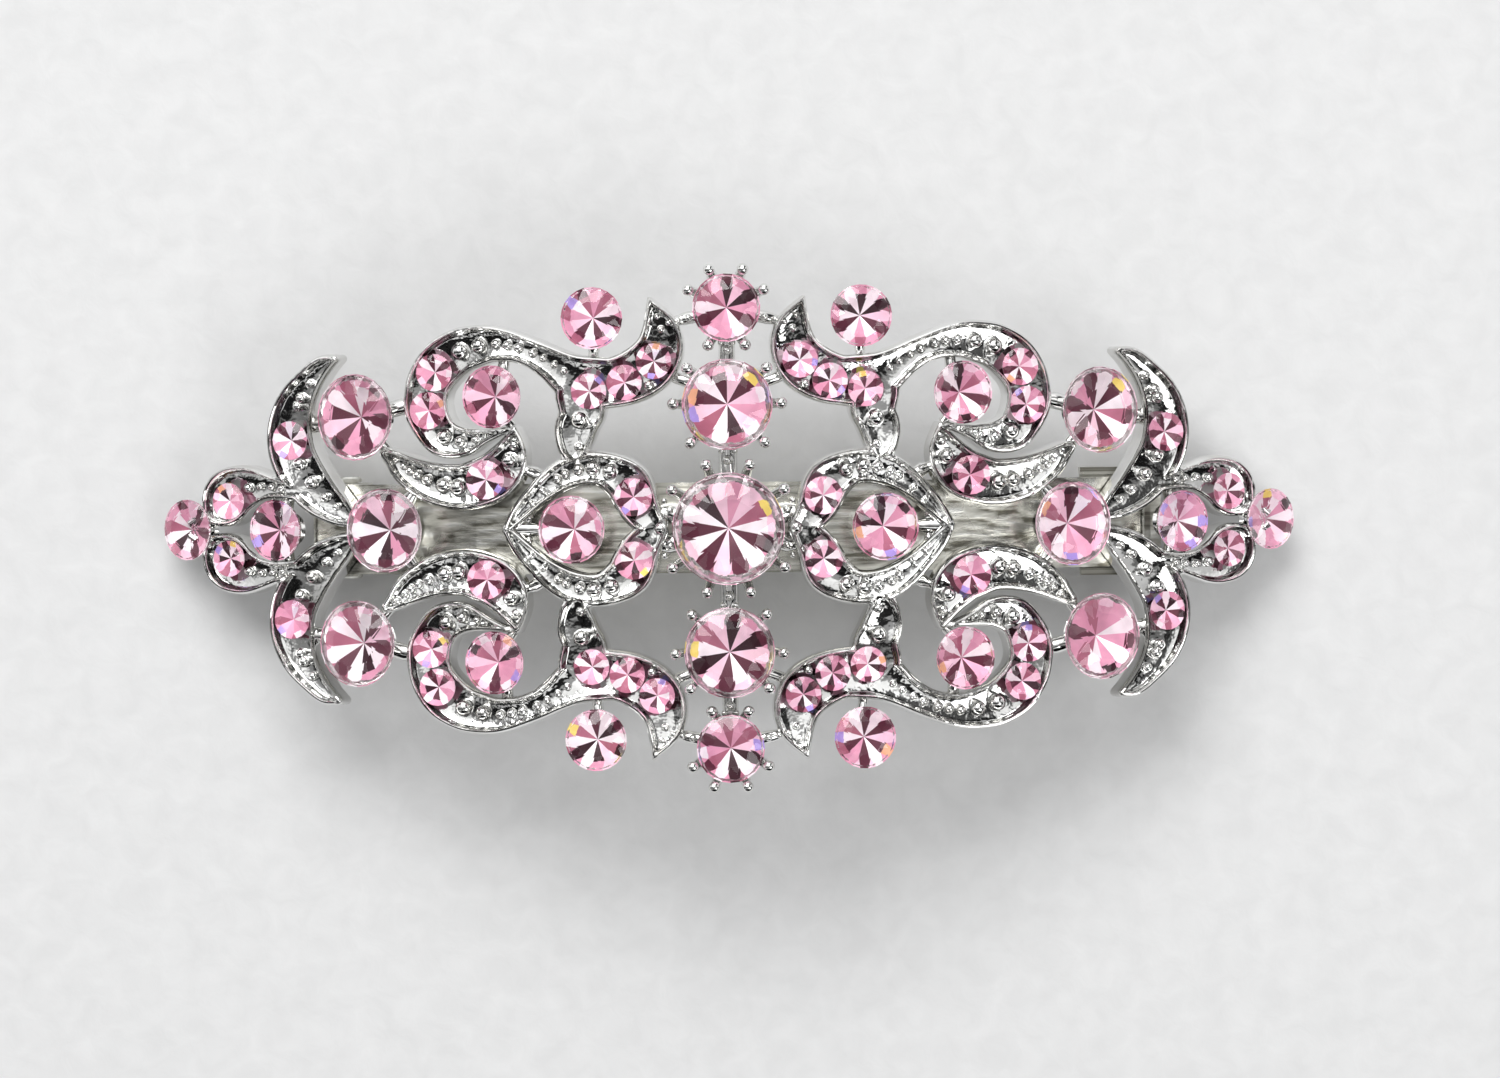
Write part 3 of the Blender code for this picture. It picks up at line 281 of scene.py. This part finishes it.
def add_ball(shape, centre, radius, sides=12, rings=7):
    """Ball about a point in mm (along, across, height)."""
    middle = on_arch([centre])[0]
    spots = [middle - (0, 0, radius * MM)]
    for ring in range(1, rings):
        turn = math.pi * ring / rings
        for index in range(sides):
            angle = 2 * math.pi * index / sides
            spots.append(middle + radius * MM * np.array((math.sin(turn) * math.cos(angle),
                                                          math.sin(turn) * math.sin(angle),
                                                          -math.cos(turn))))
    spots.append(middle + (0, 0, radius * MM))
    faces = []
    for index in range(sides):
        following = (index + 1) % sides
        faces.append((0, 1 + following, 1 + index))
        for ring in range(rings - 2):
            low = 1 + ring * sides
            faces.append((low + index, low + following, low + sides + following, low + sides + index))
        low = 1 + (rings - 2) * sides
        faces.append((low + index, low + following, len(spots) - 1))
    shape.add(spots, faces)


def add_tube(shape, path, radii, sides=10):
    """Tube along a path in metres."""
    path = np.asarray(path, float)
    ways = np.gradient(path, axis=0)
    rows = []
    for spot, way, radius in zip(path, ways, radii):
        turn = Vector(way).to_track_quat("Z", "Y").to_matrix()
        row = []
        for index in range(sides):
            angle = 2 * math.pi * index / sides
            offset = turn @ Vector((math.cos(angle), math.sin(angle), 0)) * radius * MM
            row.append(spot + np.array(offset))
        rows.append(row)
    shape.add_grid(rows)


def add_turned(shape, profile, placement, sides=32):
    """Closed ring turned about Z from a loop of (radius, height) in mm."""
    rows = []
    for index in range(sides):
        angle = 2 * math.pi * index / sides
        rows.append([placement @ (Vector((radius * math.cos(angle), radius * math.sin(angle), height)) * MM)
                     for radius, height in profile])
    count = len(profile)
    spots = [spot for row in rows for spot in row]
    faces = []
    for row in range(sides):
        after = (row + 1) % sides
        for index in range(count):
            following = (index + 1) % count
            faces.append((row * count + index, after * count + index,
                          after * count + following, row * count + following))
    shape.add(spots, faces)


# ---------------------------------------------------------------- bands

def smooth_spine(points, step):
    """Catmull-Rom curve through (along, across, half width), sampled about every step."""
    knots = [np.array(point, float) for point in points]
    knots = [2 * knots[0] - knots[1], *knots, 2 * knots[-1] - knots[-2]]
    samples = []
    for before, start, end, after in zip(knots, knots[1:], knots[2:], knots[3:]):
        pieces = max(1, round(float(np.linalg.norm((end - start)[:2])) / step))
        for index in range(pieces):
            t = index / pieces
            samples.append(0.5 * (2 * start + (end - before) * t
                                  + (2 * before - 5 * start + 4 * end - after) * t ** 2
                                  + (3 * start - before - 3 * end + after) * t ** 3))
    samples.append(knots[-2])
    return np.array(samples)


DISCS = np.concatenate([smooth_spine(points, DISC_STEP) for points in BANDS.values()])
DISCS = np.concatenate([DISCS, DISCS * (1, -1, 1)])


def depth_at(points):
    """Depth of each point (along, across) inside the bands: positive inside, negative outside."""
    depth = np.full(len(points), -9.0)
    reach = DISCS[:, 2].max() + 0.3
    cells = np.floor(points[:, 0] / 2.0).astype(int)
    for cell in np.unique(cells):
        here = np.nonzero(cells == cell)[0]
        near = DISCS[(DISCS[:, 0] > cell * 2.0 - reach) & (DISCS[:, 0] < cell * 2.0 + 2.0 + reach)]
        if not len(near):
            continue
        for part in np.array_split(here, max(1, len(here) // 2000)):
            gap = np.hypot(points[part, None, 0] - near[None, :, 0], points[part, None, 1] - near[None, :, 1])
            depth[part] = (near[None, :, 2] - gap).max(axis=1)
    return depth


def contours(field, columns, rows, level):
    """Closed lines where the field crosses the level, as arrays of (along, across)."""
    inside = field > level
    spots, onward = {}, {}

    def crossing(first, second):
        key = (min(first, second), max(first, second))
        if key not in spots:
            start, end = field[key[0]], field[key[1]]
            share = (level - start) / (end - start)
            spots[key] = (columns[key[0][0]] + share * (columns[key[1][0]] - columns[key[0][0]]),
                          rows[key[0][1]] + share * (rows[key[1][1]] - rows[key[0][1]]))
        return key

    count = (inside[:-1, :-1].astype(int) + inside[1:, :-1] + inside[1:, 1:] + inside[:-1, 1:])
    for i, j in zip(*np.nonzero((count > 0) & (count < 4))):
        corners = [(i, j), (i + 1, j), (i + 1, j + 1), (i, j + 1)]
        marks = [bool(inside[corner]) for corner in corners]
        entries, exits = [], []
        for index in range(4):
            after = (index + 1) % 4
            if marks[index] and not marks[after]:
                exits.append(index)
            if not marks[index] and marks[after]:
                entries.append(index)
        for leave in exits:
            # The inside stays on the left of the line.
            enter = entries[0] if len(entries) == 1 else next(
                index for index in ((leave + 1) % 4, (leave + 3) % 4) if index in entries)
            onward[crossing(corners[leave], corners[(leave + 1) % 4])] = crossing(
                corners[enter], corners[(enter + 1) % 4])
    lines = []
    while onward:
        start = next(iter(onward))
        line, key = [], start
        while key in onward:
            line.append(spots[key])
            key = onward.pop(key)
        if len(line) > 8:
            lines.append(np.array(line))
    return lines


def thinned(line, step):
    """Every so many points of a closed line, about a step apart."""
    lengths = np.linalg.norm(np.diff(line, axis=0, append=line[:1]), axis=1)
    total = lengths.sum()
    count = max(6, round(total / step))
    places = np.concatenate([[0], np.cumsum(lengths)[:-1]])
    picks = np.searchsorted(places, np.arange(count) * total / count, side="right") - 1
    return line[np.unique(picks)]


def section_height(depth):
    distances, heights = zip(*RIM_SECTION)
    return np.interp(depth, distances, heights)


def triangulated(spots, edges):
    result = delaunay_2d_cdt([Vector(spot) for spot in spots], edges, [], 0, 1e-5, True)
    points = np.array([tuple(spot) for spot in result[0]])
    triangles = np.array([tuple(face) for face in result[2]])
    flat = points[triangles]
    turn = np.cross(flat[:, 1] - flat[:, 0], flat[:, 2] - flat[:, 0])
    triangles[turn < 0] = triangles[turn < 0][:, ::-1]
    triangles = triangles[np.abs(turn) > 1e-9]
    return points, triangles[depth_at(points[triangles].mean(axis=1)) > 0]


def loops(lines):
    """Points of closed lines and the edges along them."""
    spots, edges = [], []
    for line in lines:
        first, count = len(spots), len(line)
        spots.extend(line)
        edges.extend((first + index, first + (index + 1) % count) for index in range(count))
    return spots, edges


def add_bands(shape):
    """The bands of both ends: rims round their joined outline, ledge and sunken floor."""
    columns = np.arange(*FIELD_ALONG, FIELD_PITCH)
    rows = np.arange(-FIELD_ACROSS, FIELD_ACROSS + FIELD_PITCH, FIELD_PITCH)
    grid = np.stack(np.meshgrid(columns, rows, indexing="ij"), axis=-1)
    field = depth_at(grid.reshape(-1, 2)).reshape(grid.shape[:2])
    lines = []
    for distance, _ in RIM_SECTION:
        lines.extend(thinned(line, CONTOUR_STEP) for line in contours(field, columns, rows, distance))
    points, triangles = triangulated(*loops(lines))
    heights = section_height(depth_at(points))
    found = {}
    for triangle in triangles:
        for start, end in zip(triangle, np.roll(triangle, -1)):
            found[(int(start), int(end))] = found.get((int(start), int(end)), 0) + 1
    rim = [edge for edge in found if edge[::-1] not in found]
    used = sorted({point for edge in rim for point in edge})
    place = {point: index for index, point in enumerate(used)}
    back_spots = [points[point] for point in used]
    back, back_triangles = triangulated(back_spots, [(place[start], place[end]) for start, end in rim])
    for side in (1, -1):
        turn = slice(None, None, side)
        top = np.column_stack([points * (side, 1), heights])
        # Deep inside a band the floor gets the second slot, a silver darkened as painted shade.
        sunken = depth_at(points[triangles].mean(axis=1)) > RECESS_DEPTH
        shape.add(on_arch(top), triangles[~sunken][:, turn])
        shape.add(on_arch(top), triangles[sunken][:, turn], slot=1)
        under = np.column_stack([back * (side, 1), np.zeros(len(back))])
        shape.add(on_arch(under), back_triangles[:, ::-side])
        upper = np.column_stack([np.array(back_spots) * (side, 1), heights[used]])
        lower = np.column_stack([np.array(back_spots) * (side, 1), np.zeros(len(used))])
        walls = [(place[start] + len(used), place[end] + len(used), place[end], place[start])[turn]
                 for start, end in rim]
        shape.add(np.concatenate([on_arch(upper), on_arch(lower)]), walls)


def quarters(along, across):
    for side in (1, -1) if along else (1,):
        for end in (1, -1) if across else (1,):
            yield side, end


def add_beads(shape):
    for name, beads in BEADS.items():
        samples = smooth_spine(BANDS[name], DISC_STEP)
        lengths = np.concatenate([[0], np.cumsum(np.linalg.norm(np.diff(samples[:, :2], axis=0), axis=1))])
        for place, radius in beads:
            along = float(np.interp(place, lengths, samples[:, 0]))
            across = float(np.interp(place, lengths, samples[:, 1]))
            for side, end in quarters(along, across):
                add_ball(shape, (along * side, across * end, FLOOR_HEIGHT + 0.3 * radius), radius)
    for along, across, height, radius in LOOSE_BEADS:
        for side, end in quarters(along, across):
            add_ball(shape, (along * side, across * end, height), radius)


def add_links(shape):
    for link in LINKS:
        samples = smooth_spine(link, LINK_STEP)
        seen = set()
        for side in (1, -1):
            for end in (1, -1):
                flat = samples[:, :2] * (side, end) + 0.0
                key = tuple(flat.round(3).ravel())
                if key in seen:
                    continue
                seen.add(key)
                # Where a link runs into a band it stays between the band's back and its floor.
                sunken = depth_at(flat * (side, 1)) > LINK_ENTRY
                middle = np.where(sunken, FLOOR_HEIGHT / 2, LINK_HEIGHT / 2)
                radii = np.where(sunken, np.minimum(samples[:, 2], SUNKEN_RADIUS), samples[:, 2])
                add_tube(shape, on_arch(np.column_stack([flat, middle])), radii, sides=14)


# ---------------------------------------------------------------- settings

def prong_places(setting):
    """Places of the prongs round a claw setting, each once, as seen from its middle."""
    places = set()
    clocks, stand_off = PRONGS[setting.name]
    reach = setting.radius + stand_off
    for clock in clocks:
        offset = (reach * math.sin(math.radians(clock)), reach * math.cos(math.radians(clock)))
        ends = (1, -1) if setting.name == "centre" else (1,)
        for side in (1, -1):
            for end in ends:
                places.add((round(side * offset[0], 4), round(end * offset[1], 4)))
    return sorted(places)


def add_prong(shape, setting, middle, offset):
    """Leg from the setting's base out to a polished ball beside the stone."""
    reach = math.hypot(*offset)
    way = np.array(offset) / reach
    girdle = setting.girdle
    steps = [(setting.radius * 0.62, 0.5), (setting.radius * 0.86, girdle * 0.34),
             (setting.radius + 0.12, girdle * 0.62), (reach - 0.12, girdle * 0.86), (reach, girdle + 0.1)]
    curve = smooth_spine([(distance, height, 0.0) for distance, height in steps], 0.3)
    path = [(middle[0] + way[0] * distance, middle[1] + way[1] * distance, height)
            for distance, height, _ in curve]
    radii = np.linspace(LEG_RADIUS * 1.7, LEG_RADIUS, len(path))
    add_tube(shape, on_arch(path), radii)
    add_ball(shape, (middle[0] + offset[0], middle[1] + offset[1], girdle + 0.12), BALL_RADIUS, 16, 10)


def add_cup(shape, setting, side, end):
    """Cup under a stone, with a rolled lip just inside its girdle and a turned foot."""
    radius = setting.radius
    lip = -GIRDLE_DEPTH / 2 - 0.06
    depth = PAVILION_SLOPE * radius
    outer = [(radius * 0.98, lip), (radius * 0.97, lip - 0.16), (radius * 0.9, lip - 0.32),
             (radius * 0.74, lip - 0.62 * depth), (radius * 0.5, lip - 0.95 * depth),
             (radius * 0.46, -setting.girdle + 0.25), (radius * 0.56, -setting.girdle)]
    inner = [(radius * 0.3, -setting.girdle), (radius * 0.3, lip - 0.9 * depth), (radius * 0.9, lip - 0.1)]
    lean = LEAN.get(setting.name, 0.0)
    place = standing(setting.along * side, setting.across * end, setting.girdle, lean)
    add_turned(shape, outer + inner, place)


def add_settings(shape):
    for setting in SETTINGS:
        if setting.style == "small":
            continue
        for side, end in quarters(setting.along, setting.across):
            add_cup(shape, setting, side, end)
            if setting.style == "claw":
                middle = (setting.along * side, setting.across * end)
                for offset in prong_places(setting):
                    add_prong(shape, setting, middle, (offset[0], offset[1] * end))


# ---------------------------------------------------------------- stones

def add_stone(shape, setting, side, end, chance):
    """Cut stone: glass crown and girdle over foiled pavilion facets, whose foils carry painted reflections
    and painted fire.
    """
    radius = setting.radius
    crown = 2 * radius * CROWN_SHARE
    half = GIRDLE_DEPTH / 2
    small = setting.style == "small"
    count = SMALL_FACETS if small else LARGE_FACETS if radius > LARGE_RADIUS else MIDDLE_FACETS
    depth = setting.girdle - FLOOR_HEIGHT - 0.06 if small else PAVILION_SLOPE * radius
    turn = chance.uniform(0, 2 * math.pi / count)
    lean = LEAN.get(setting.name, 0.0)
    place = standing(setting.along * side, setting.across * end, setting.girdle, lean)
    spots = []

    def ring(size, height, number, shift):
        first = len(spots)
        for index in range(number):
            angle = turn + 2 * math.pi * (index + shift) / number
            spots.append((size * math.cos(angle), size * math.sin(angle), height))
        return first

    table = ring(radius * TABLE_SHARE, half + crown, count, 0.5)
    middle = ring(radius * BREAK_SHARE, half + crown * BREAK_RISE, count, 0.0)
    upper = ring(radius, half, 2 * count, 0.0)
    lower = ring(radius, -half, 2 * count, 0.0)
    inner = ring(radius * INNER_SHARE, -half - depth * INNER_SINK, count, 0.25)
    culet = len(spots)
    spots.append((0, 0, -half - depth))
    faces, slots = [tuple(range(table, table + count))], [0]

    def face(*corners, slot=0):
        faces.append(corners)
        slots.append(slot)

    colours = painted_reflection_foils(chance, count)
    for index in range(count):
        after = (index + 1) % count
        before = (index - 1) % count
        even, odd, following = 2 * index, 2 * index + 1, (2 * index + 2) % (2 * count)
        face(table + before, middle + index, table + index)
        face(middle + index, upper + even, upper + odd)
        face(middle + index, upper + (even - 1) % (2 * count), upper + even)
        face(table + index, middle + index, upper + odd, middle + after)
        face(upper + even, lower + even, lower + odd, upper + odd)
        face(upper + odd, lower + odd, lower + following, upper + following)
        face(lower + even, inner + index, lower + odd, slot=colours[index][0])
        face(lower + odd, inner + index, inner + after, lower + following, slot=colours[index][1])
        face(inner + index, culet, inner + after, slot=colours[index][2])
    first = len(shape.spots)
    shape.spots.extend(tuple(place @ (Vector(spot) * MM)) for spot in spots)
    shape.faces.extend(tuple(first + corner for corner in corners) for corners in faces)
    shape.slots.extend(slots)


def painted_reflection_foils(chance, count):
    """Foil slots of the facets in each wedge: pale and plum wedges by turns, as painted bright and painted
    dark reflections, with rare flashes of colour as painted spectral fire.
    """
    wedges = []
    for index in range(count):
        foils = PAINTED_BRIGHT_REFLECTION_FOILS if index % 2 else PAINTED_DARK_REFLECTION_FOILS
        main = chance.choice(foils)
        inner = main if chance.random() < SAME_FOIL_SHARE else chance.choice(foils)
        # Now and then a facet's foil is painted spectral fire.
        outer = chance.choice(PAINTED_FIRE_FOILS) if chance.random() < PAINTED_FIRE_SHARE else main
        wedges.append((chance.choice(EDGE_FOILS), outer, inner))
    return wedges


# ---------------------------------------------------------------- materials

def new_material(name):
    material = bpy.data.materials.new(name)
    material.use_nodes = True
    tree = material.node_tree
    return material, tree, tree.nodes["Principled BSDF"]


def add_node(tree, kind, inputs=(), **settings):
    node = tree.nodes.new(kind)
    for name, value in settings.items():
        setattr(node, name, value)
    for name, value in inputs:
        if hasattr(value, "is_output"):
            tree.links.new(value, node.inputs[name])
        else:
            node.inputs[name].default_value = value
    return node


def grey(value):
    return value, value, value


def ramp(tree, factor, stops):
    node = add_node(tree, "ShaderNodeValToRGB", [("Fac", factor)])
    elements = node.color_ramp.elements
    while len(elements) < len(stops):
        elements.new(0.5)
    for element, (place, colour) in zip(elements, stops):
        element.position = place
        element.color = (*colour, 1)
    return node.outputs["Color"]


def noise(tree, scale, detail=3.0, stretch=None, distortion=0.0):
    coordinates = add_node(tree, "ShaderNodeTexCoord").outputs["Object"]
    if stretch:
        mapping = add_node(tree, "ShaderNodeMapping", [("Vector", coordinates), ("Scale", stretch)])
        coordinates = mapping.outputs["Vector"]
    node = add_node(tree, "ShaderNodeTexNoise", [("Vector", coordinates), ("Scale", scale),
                                                 ("Detail", detail), ("Distortion", distortion)])
    return node.outputs["Fac"]


def silver(name, dark, bright, relief):
    """Bright plated casting: nearly a mirror, with fine ripples and cloudy wear."""
    material, tree, shader = new_material(name)
    clouds = noise(tree, 260.0, 4.0)
    colour = ramp(tree, clouds, [(0.3, dark), (0.62, bright)])
    tree.links.new(colour, shader.inputs["Base Color"])
    rough = ramp(tree, clouds, [(0.3, grey(0.14)), (0.65, grey(0.06))])
    tree.links.new(rough, shader.inputs["Roughness"])
    ripple = noise(tree, 1100.0, 2.0)
    bump = add_node(tree, "ShaderNodeBump", [("Height", ripple), ("Strength", relief), ("Distance", 0.0002)])
    tree.links.new(bump.outputs["Normal"], shader.inputs["Normal"])
    shader.inputs["Metallic"].default_value = 1.0
    return material


def brushed_steel():
    """Clip steel, drawn and brushed along its length."""
    material, tree, shader = new_material("brushed_clip_steel")
    lines = noise(tree, 1.0, 3.0, (9.0, 1500.0, 1500.0))
    clouds = noise(tree, 180.0, 3.0)
    colour = ramp(tree, lines, [(0.34, (0.22, 0.21, 0.17)), (0.44, (0.6, 0.59, 0.53)),
                                (0.56, (0.78, 0.77, 0.7)), (0.66, (0.98, 0.98, 0.93))])
    tree.links.new(colour, shader.inputs["Base Color"])
    rough = ramp(tree, clouds, [(0.3, grey(0.34)), (0.7, grey(0.2))])
    tree.links.new(rough, shader.inputs["Roughness"])
    bump = add_node(tree, "ShaderNodeBump", [("Height", lines), ("Strength", 0.4), ("Distance", 0.00008)])
    tree.links.new(bump.outputs["Normal"], shader.inputs["Normal"])
    shader.inputs["Metallic"].default_value = 1.0
    return material


def glass():
    """Clear rose crown; lamps reach the foil through it."""
    material, tree, shader = new_material("rose_glass")
    shader.inputs["Base Color"].default_value = (1.0, 0.945, 0.97, 1)
    shader.inputs["Roughness"].default_value = 0.0
    shader.inputs["IOR"].default_value = 1.56
    shader.inputs["Transmission Weight"].default_value = 1.0
    path = add_node(tree, "ShaderNodeLightPath")
    clear = add_node(tree, "ShaderNodeBsdfTransparent", [("Color", (1.0, 0.95, 0.97, 1))])
    mix = add_node(tree, "ShaderNodeMixShader", [("Fac", path.outputs["Is Shadow Ray"])])
    tree.links.new(shader.outputs["BSDF"], mix.inputs[1])
    tree.links.new(clear.outputs["BSDF"], mix.inputs[2])
    tree.links.new(mix.outputs["Shader"], tree.nodes["Material Output"].inputs["Surface"])
    return material


def foil(name, colour):
    """Foil behind a facet, slightly cloudy."""
    material, tree, shader = new_material(name)
    clouds = noise(tree, 700.0, 1.0)
    deep = tuple(value * 0.88 for value in colour)
    tree.links.new(ramp(tree, clouds, [(0.35, deep), (0.6, colour)]), shader.inputs["Base Color"])
    shader.inputs["Metallic"].default_value = 0.25
    shader.inputs["Roughness"].default_value = 0.3
    return material


SILVER = silver("plated_casting", (0.7, 0.69, 0.67), (0.86, 0.86, 0.85), 0.15)
# Recess copy: its darker colour is painted shade on the sunken floors; its stronger ripple is the floor's own
# texture.
PAINTED_SHADE_RECESS = silver("casting_recess_painted_shade", (0.42, 0.42, 0.41), (0.8, 0.8, 0.79), 0.4)
STEEL = brushed_steel()
# Stone foils: rose is near the stone's own colour; white and pale are painted bright reflections, and mid,
# plum and dark are painted dark reflections.
STONE_MATERIALS = [
    glass(),
    foil("foil_painted_white_reflection", (1.0, 0.98, 1.0)),
    foil("foil_painted_pale_reflection", (1.0, 0.72, 0.84)),
    foil("foil_rose", (0.78, 0.38, 0.52)),
    foil("foil_painted_mid_reflection", (0.42, 0.14, 0.21)),
    foil("foil_painted_plum_reflection", (0.1, 0.022, 0.04)),
    foil("foil_painted_dark_reflection", (0.03, 0.006, 0.012)),
    # The three flash foils are painted spectral fire.
    foil("painted_fire_yellow", (1.0, 0.85, 0.2)),
    foil("painted_fire_violet", (0.42, 0.34, 0.8)),
    foil("painted_fire_orange", (0.9, 0.5, 0.28)),
]


# ---------------------------------------------------------------- pieces

def build_casting():
    shape = Shape()
    add_bands(shape)
    add_links(shape)
    add_settings(shape)
    item = shape.build("casting_bands", [SILVER, PAINTED_SHADE_RECESS])
    ride(item, "clip", "casting_metal", "ornament_casting")
    beads = Shape()
    add_beads(beads)
    ride(beads.build("casting_beads", [SILVER], sharp=60.0), "clip", "casting_metal")


def node_name(base, side, end, along, across):
    name = base
    if along:
        name += "_right" if side > 0 else "_left"
    if across:
        name += "_top" if end > 0 else "_bottom"
    return name


def build_stones():
    chance = random.Random(SEED)
    for setting in SETTINGS:
        for side, end in quarters(setting.along, setting.across):
            shape = Shape()
            add_stone(shape, setting, side, end, chance)
            name = node_name("stone_" + setting.name, side, end, setting.along, setting.across)
            ride(shape.build("cut_" + name, STONE_MATERIALS, sharp=None), "clip", "stone_glass", name)
    for row, stones in ROWS.items():
        for side, end in quarters(1, 1):
            shape = Shape()
            for along, across, diameter in stones:
                add_stone(shape, Setting(row, along, across, diameter, "small"), side, end, chance)
            name = node_name("stones_" + row, side, end, 1, 1)
            ride(shape.build("cut_" + name, STONE_MATERIALS, sharp=None), "clip", "stone_glass", name)


def finish_steel():
    for name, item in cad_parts.items():
        if name.startswith("stone") or name == "ornament_casting":
            continue
        for slot in item.material_slots:
            slot.material = STEEL


# ---------------------------------------------------------------- stage

def build_floor():
    material, tree, shader = new_material("pale_floor")
    clouds = noise(tree, 420.0, 5.0, distortion=0.4)
    tree.links.new(ramp(tree, clouds, [(0.3, grey(0.66)), (0.7, grey(0.71))]),
                   shader.inputs["Base Color"])
    bump = add_node(tree, "ShaderNodeBump", [("Height", clouds), ("Strength", 0.15), ("Distance", 0.0005)])
    tree.links.new(bump.outputs["Normal"], shader.inputs["Normal"])
    shader.inputs["Roughness"].default_value = 0.9
    shape = Shape()
    corners = [(along * FLOOR_REACH, across * FLOOR_REACH, 0)
               for along, across in ((-1, -1), (1, -1), (1, 1), (-1, 1))]
    shape.add(corners, [(0, 1, 2, 3)])
    item = shape.build("floor", [material], sharp=None)
    item.location.z = -FLOOR_GAP


def build_world():
    """Even light for matt surfaces; bright and dark zones of a studio for mirrors and glass."""
    world = bpy.data.worlds.new("studio")
    bpy.context.scene.world = world
    world.use_nodes = True
    tree = world.node_tree
    output = tree.nodes["World Output"]
    even = tree.nodes["Background"]
    even.inputs["Color"].default_value = (0.95, 0.955, 0.96, 1)
    even.inputs["Strength"].default_value = 0.56
    direction = add_node(tree, "ShaderNodeTexCoord").outputs["Generated"]
    split = add_node(tree, "ShaderNodeSeparateXYZ", [("Vector", direction)])
    wave = add_node(tree, "ShaderNodeTexNoise", [("Vector", direction), ("Scale", 2.2), ("Detail", 1.0)])
    shift = add_node(tree, "ShaderNodeMath", [(0, wave.outputs["Fac"]), (1, 0.3), (2, 0.35)],
                     operation="MULTIPLY_ADD")
    across = add_node(tree, "ShaderNodeMath", [(0, split.outputs["Y"]), (1, 0.5), (2, shift.outputs[0])],
                      operation="MULTIPLY_ADD")
    rows = ramp(tree, across.outputs[0], [
        (0.0, grey(0.005)), (0.2, grey(0.005)), (0.24, grey(0.8)),
        (0.28, grey(0.8)), (0.31, grey(0.005)), (0.44, grey(0.02)),
        (0.48, grey(0.3)), (0.54, grey(0.35)), (0.58, grey(1.1)),
        (0.76, grey(1.1)), (0.79, grey(0.01)), (0.85, grey(0.01)),
        (0.89, grey(1.0)), (1.0, grey(1.0))])
    along = add_node(tree, "ShaderNodeMath", [(0, split.outputs["X"]), (1, 0.5), (2, shift.outputs[0])],
                     operation="MULTIPLY_ADD")
    columns = ramp(tree, along.outputs[0], [
        (0.0, grey(0.6)), (0.17, grey(1.0)), (0.21, grey(0.2)), (0.24, grey(0.2)),
        (0.27, grey(1.0)), (0.7, grey(1.0)), (0.74, grey(0.08)),
        (0.79, grey(0.08)), (0.83, grey(1.0)), (0.95, grey(0.5))])
    zones = add_node(tree, "ShaderNodeVectorMath", [(0, rows), (1, columns)], operation="MULTIPLY").outputs[0]
    mirror = add_node(tree, "ShaderNodeBackground", [("Color", zones), ("Strength", 1.2)])
    path = add_node(tree, "ShaderNodeLightPath")
    mix = add_node(tree, "ShaderNodeMixShader", [("Fac", path.outputs["Is Glossy Ray"])])
    tree.links.new(even.outputs[0], mix.inputs[1])
    tree.links.new(mirror.outputs[0], mix.inputs[2])
    tree.links.new(mix.outputs[0], output.inputs["Surface"])


def add_lamp(name, place, size, power, target=(0, 0, 0)):
    lamp = bpy.data.lights.new(name, "AREA")
    lamp.shape = "RECTANGLE"
    lamp.size, lamp.size_y = size
    lamp.energy = power
    item = bpy.data.objects.new(name, lamp)
    item.location = place
    item.rotation_euler = (Vector(target) - Vector(place)).to_track_quat("-Z", "Y").to_euler()
    bpy.context.scene.collection.objects.link(item)


def build_camera():
    """Nearly straight above the clip, a little toward +Y, looking down at it."""
    tilt = math.radians(CAMERA_TILT)
    camera = bpy.data.cameras.new("camera")
    camera.sensor_width = 36.0
    camera.lens = camera.sensor_width * CAMERA_DISTANCE / FRAME_WIDTH
    camera.clip_start = 0.01
    camera.clip_end = 20.0
    item = bpy.data.objects.new("camera", camera)
    item.location = Vector(CAMERA_TARGET) + Vector((0, math.sin(tilt), math.cos(tilt))) * CAMERA_DISTANCE
    item.rotation_euler = (-tilt, 0, math.radians(CAMERA_ROLL))
    bpy.context.scene.collection.objects.link(item)
    bpy.context.scene.camera = item


build_casting()
build_stones()
finish_steel()
build_floor()
build_world()
add_lamp("key", (-0.15, 0.5, 0.55), (0.6, 0.4), 4.6)
add_lamp("fill", (0.45, -0.3, 0.6), (0.4, 0.4), 1.6)
build_camera()

bpy.context.scene.view_settings.view_transform = "Standard"
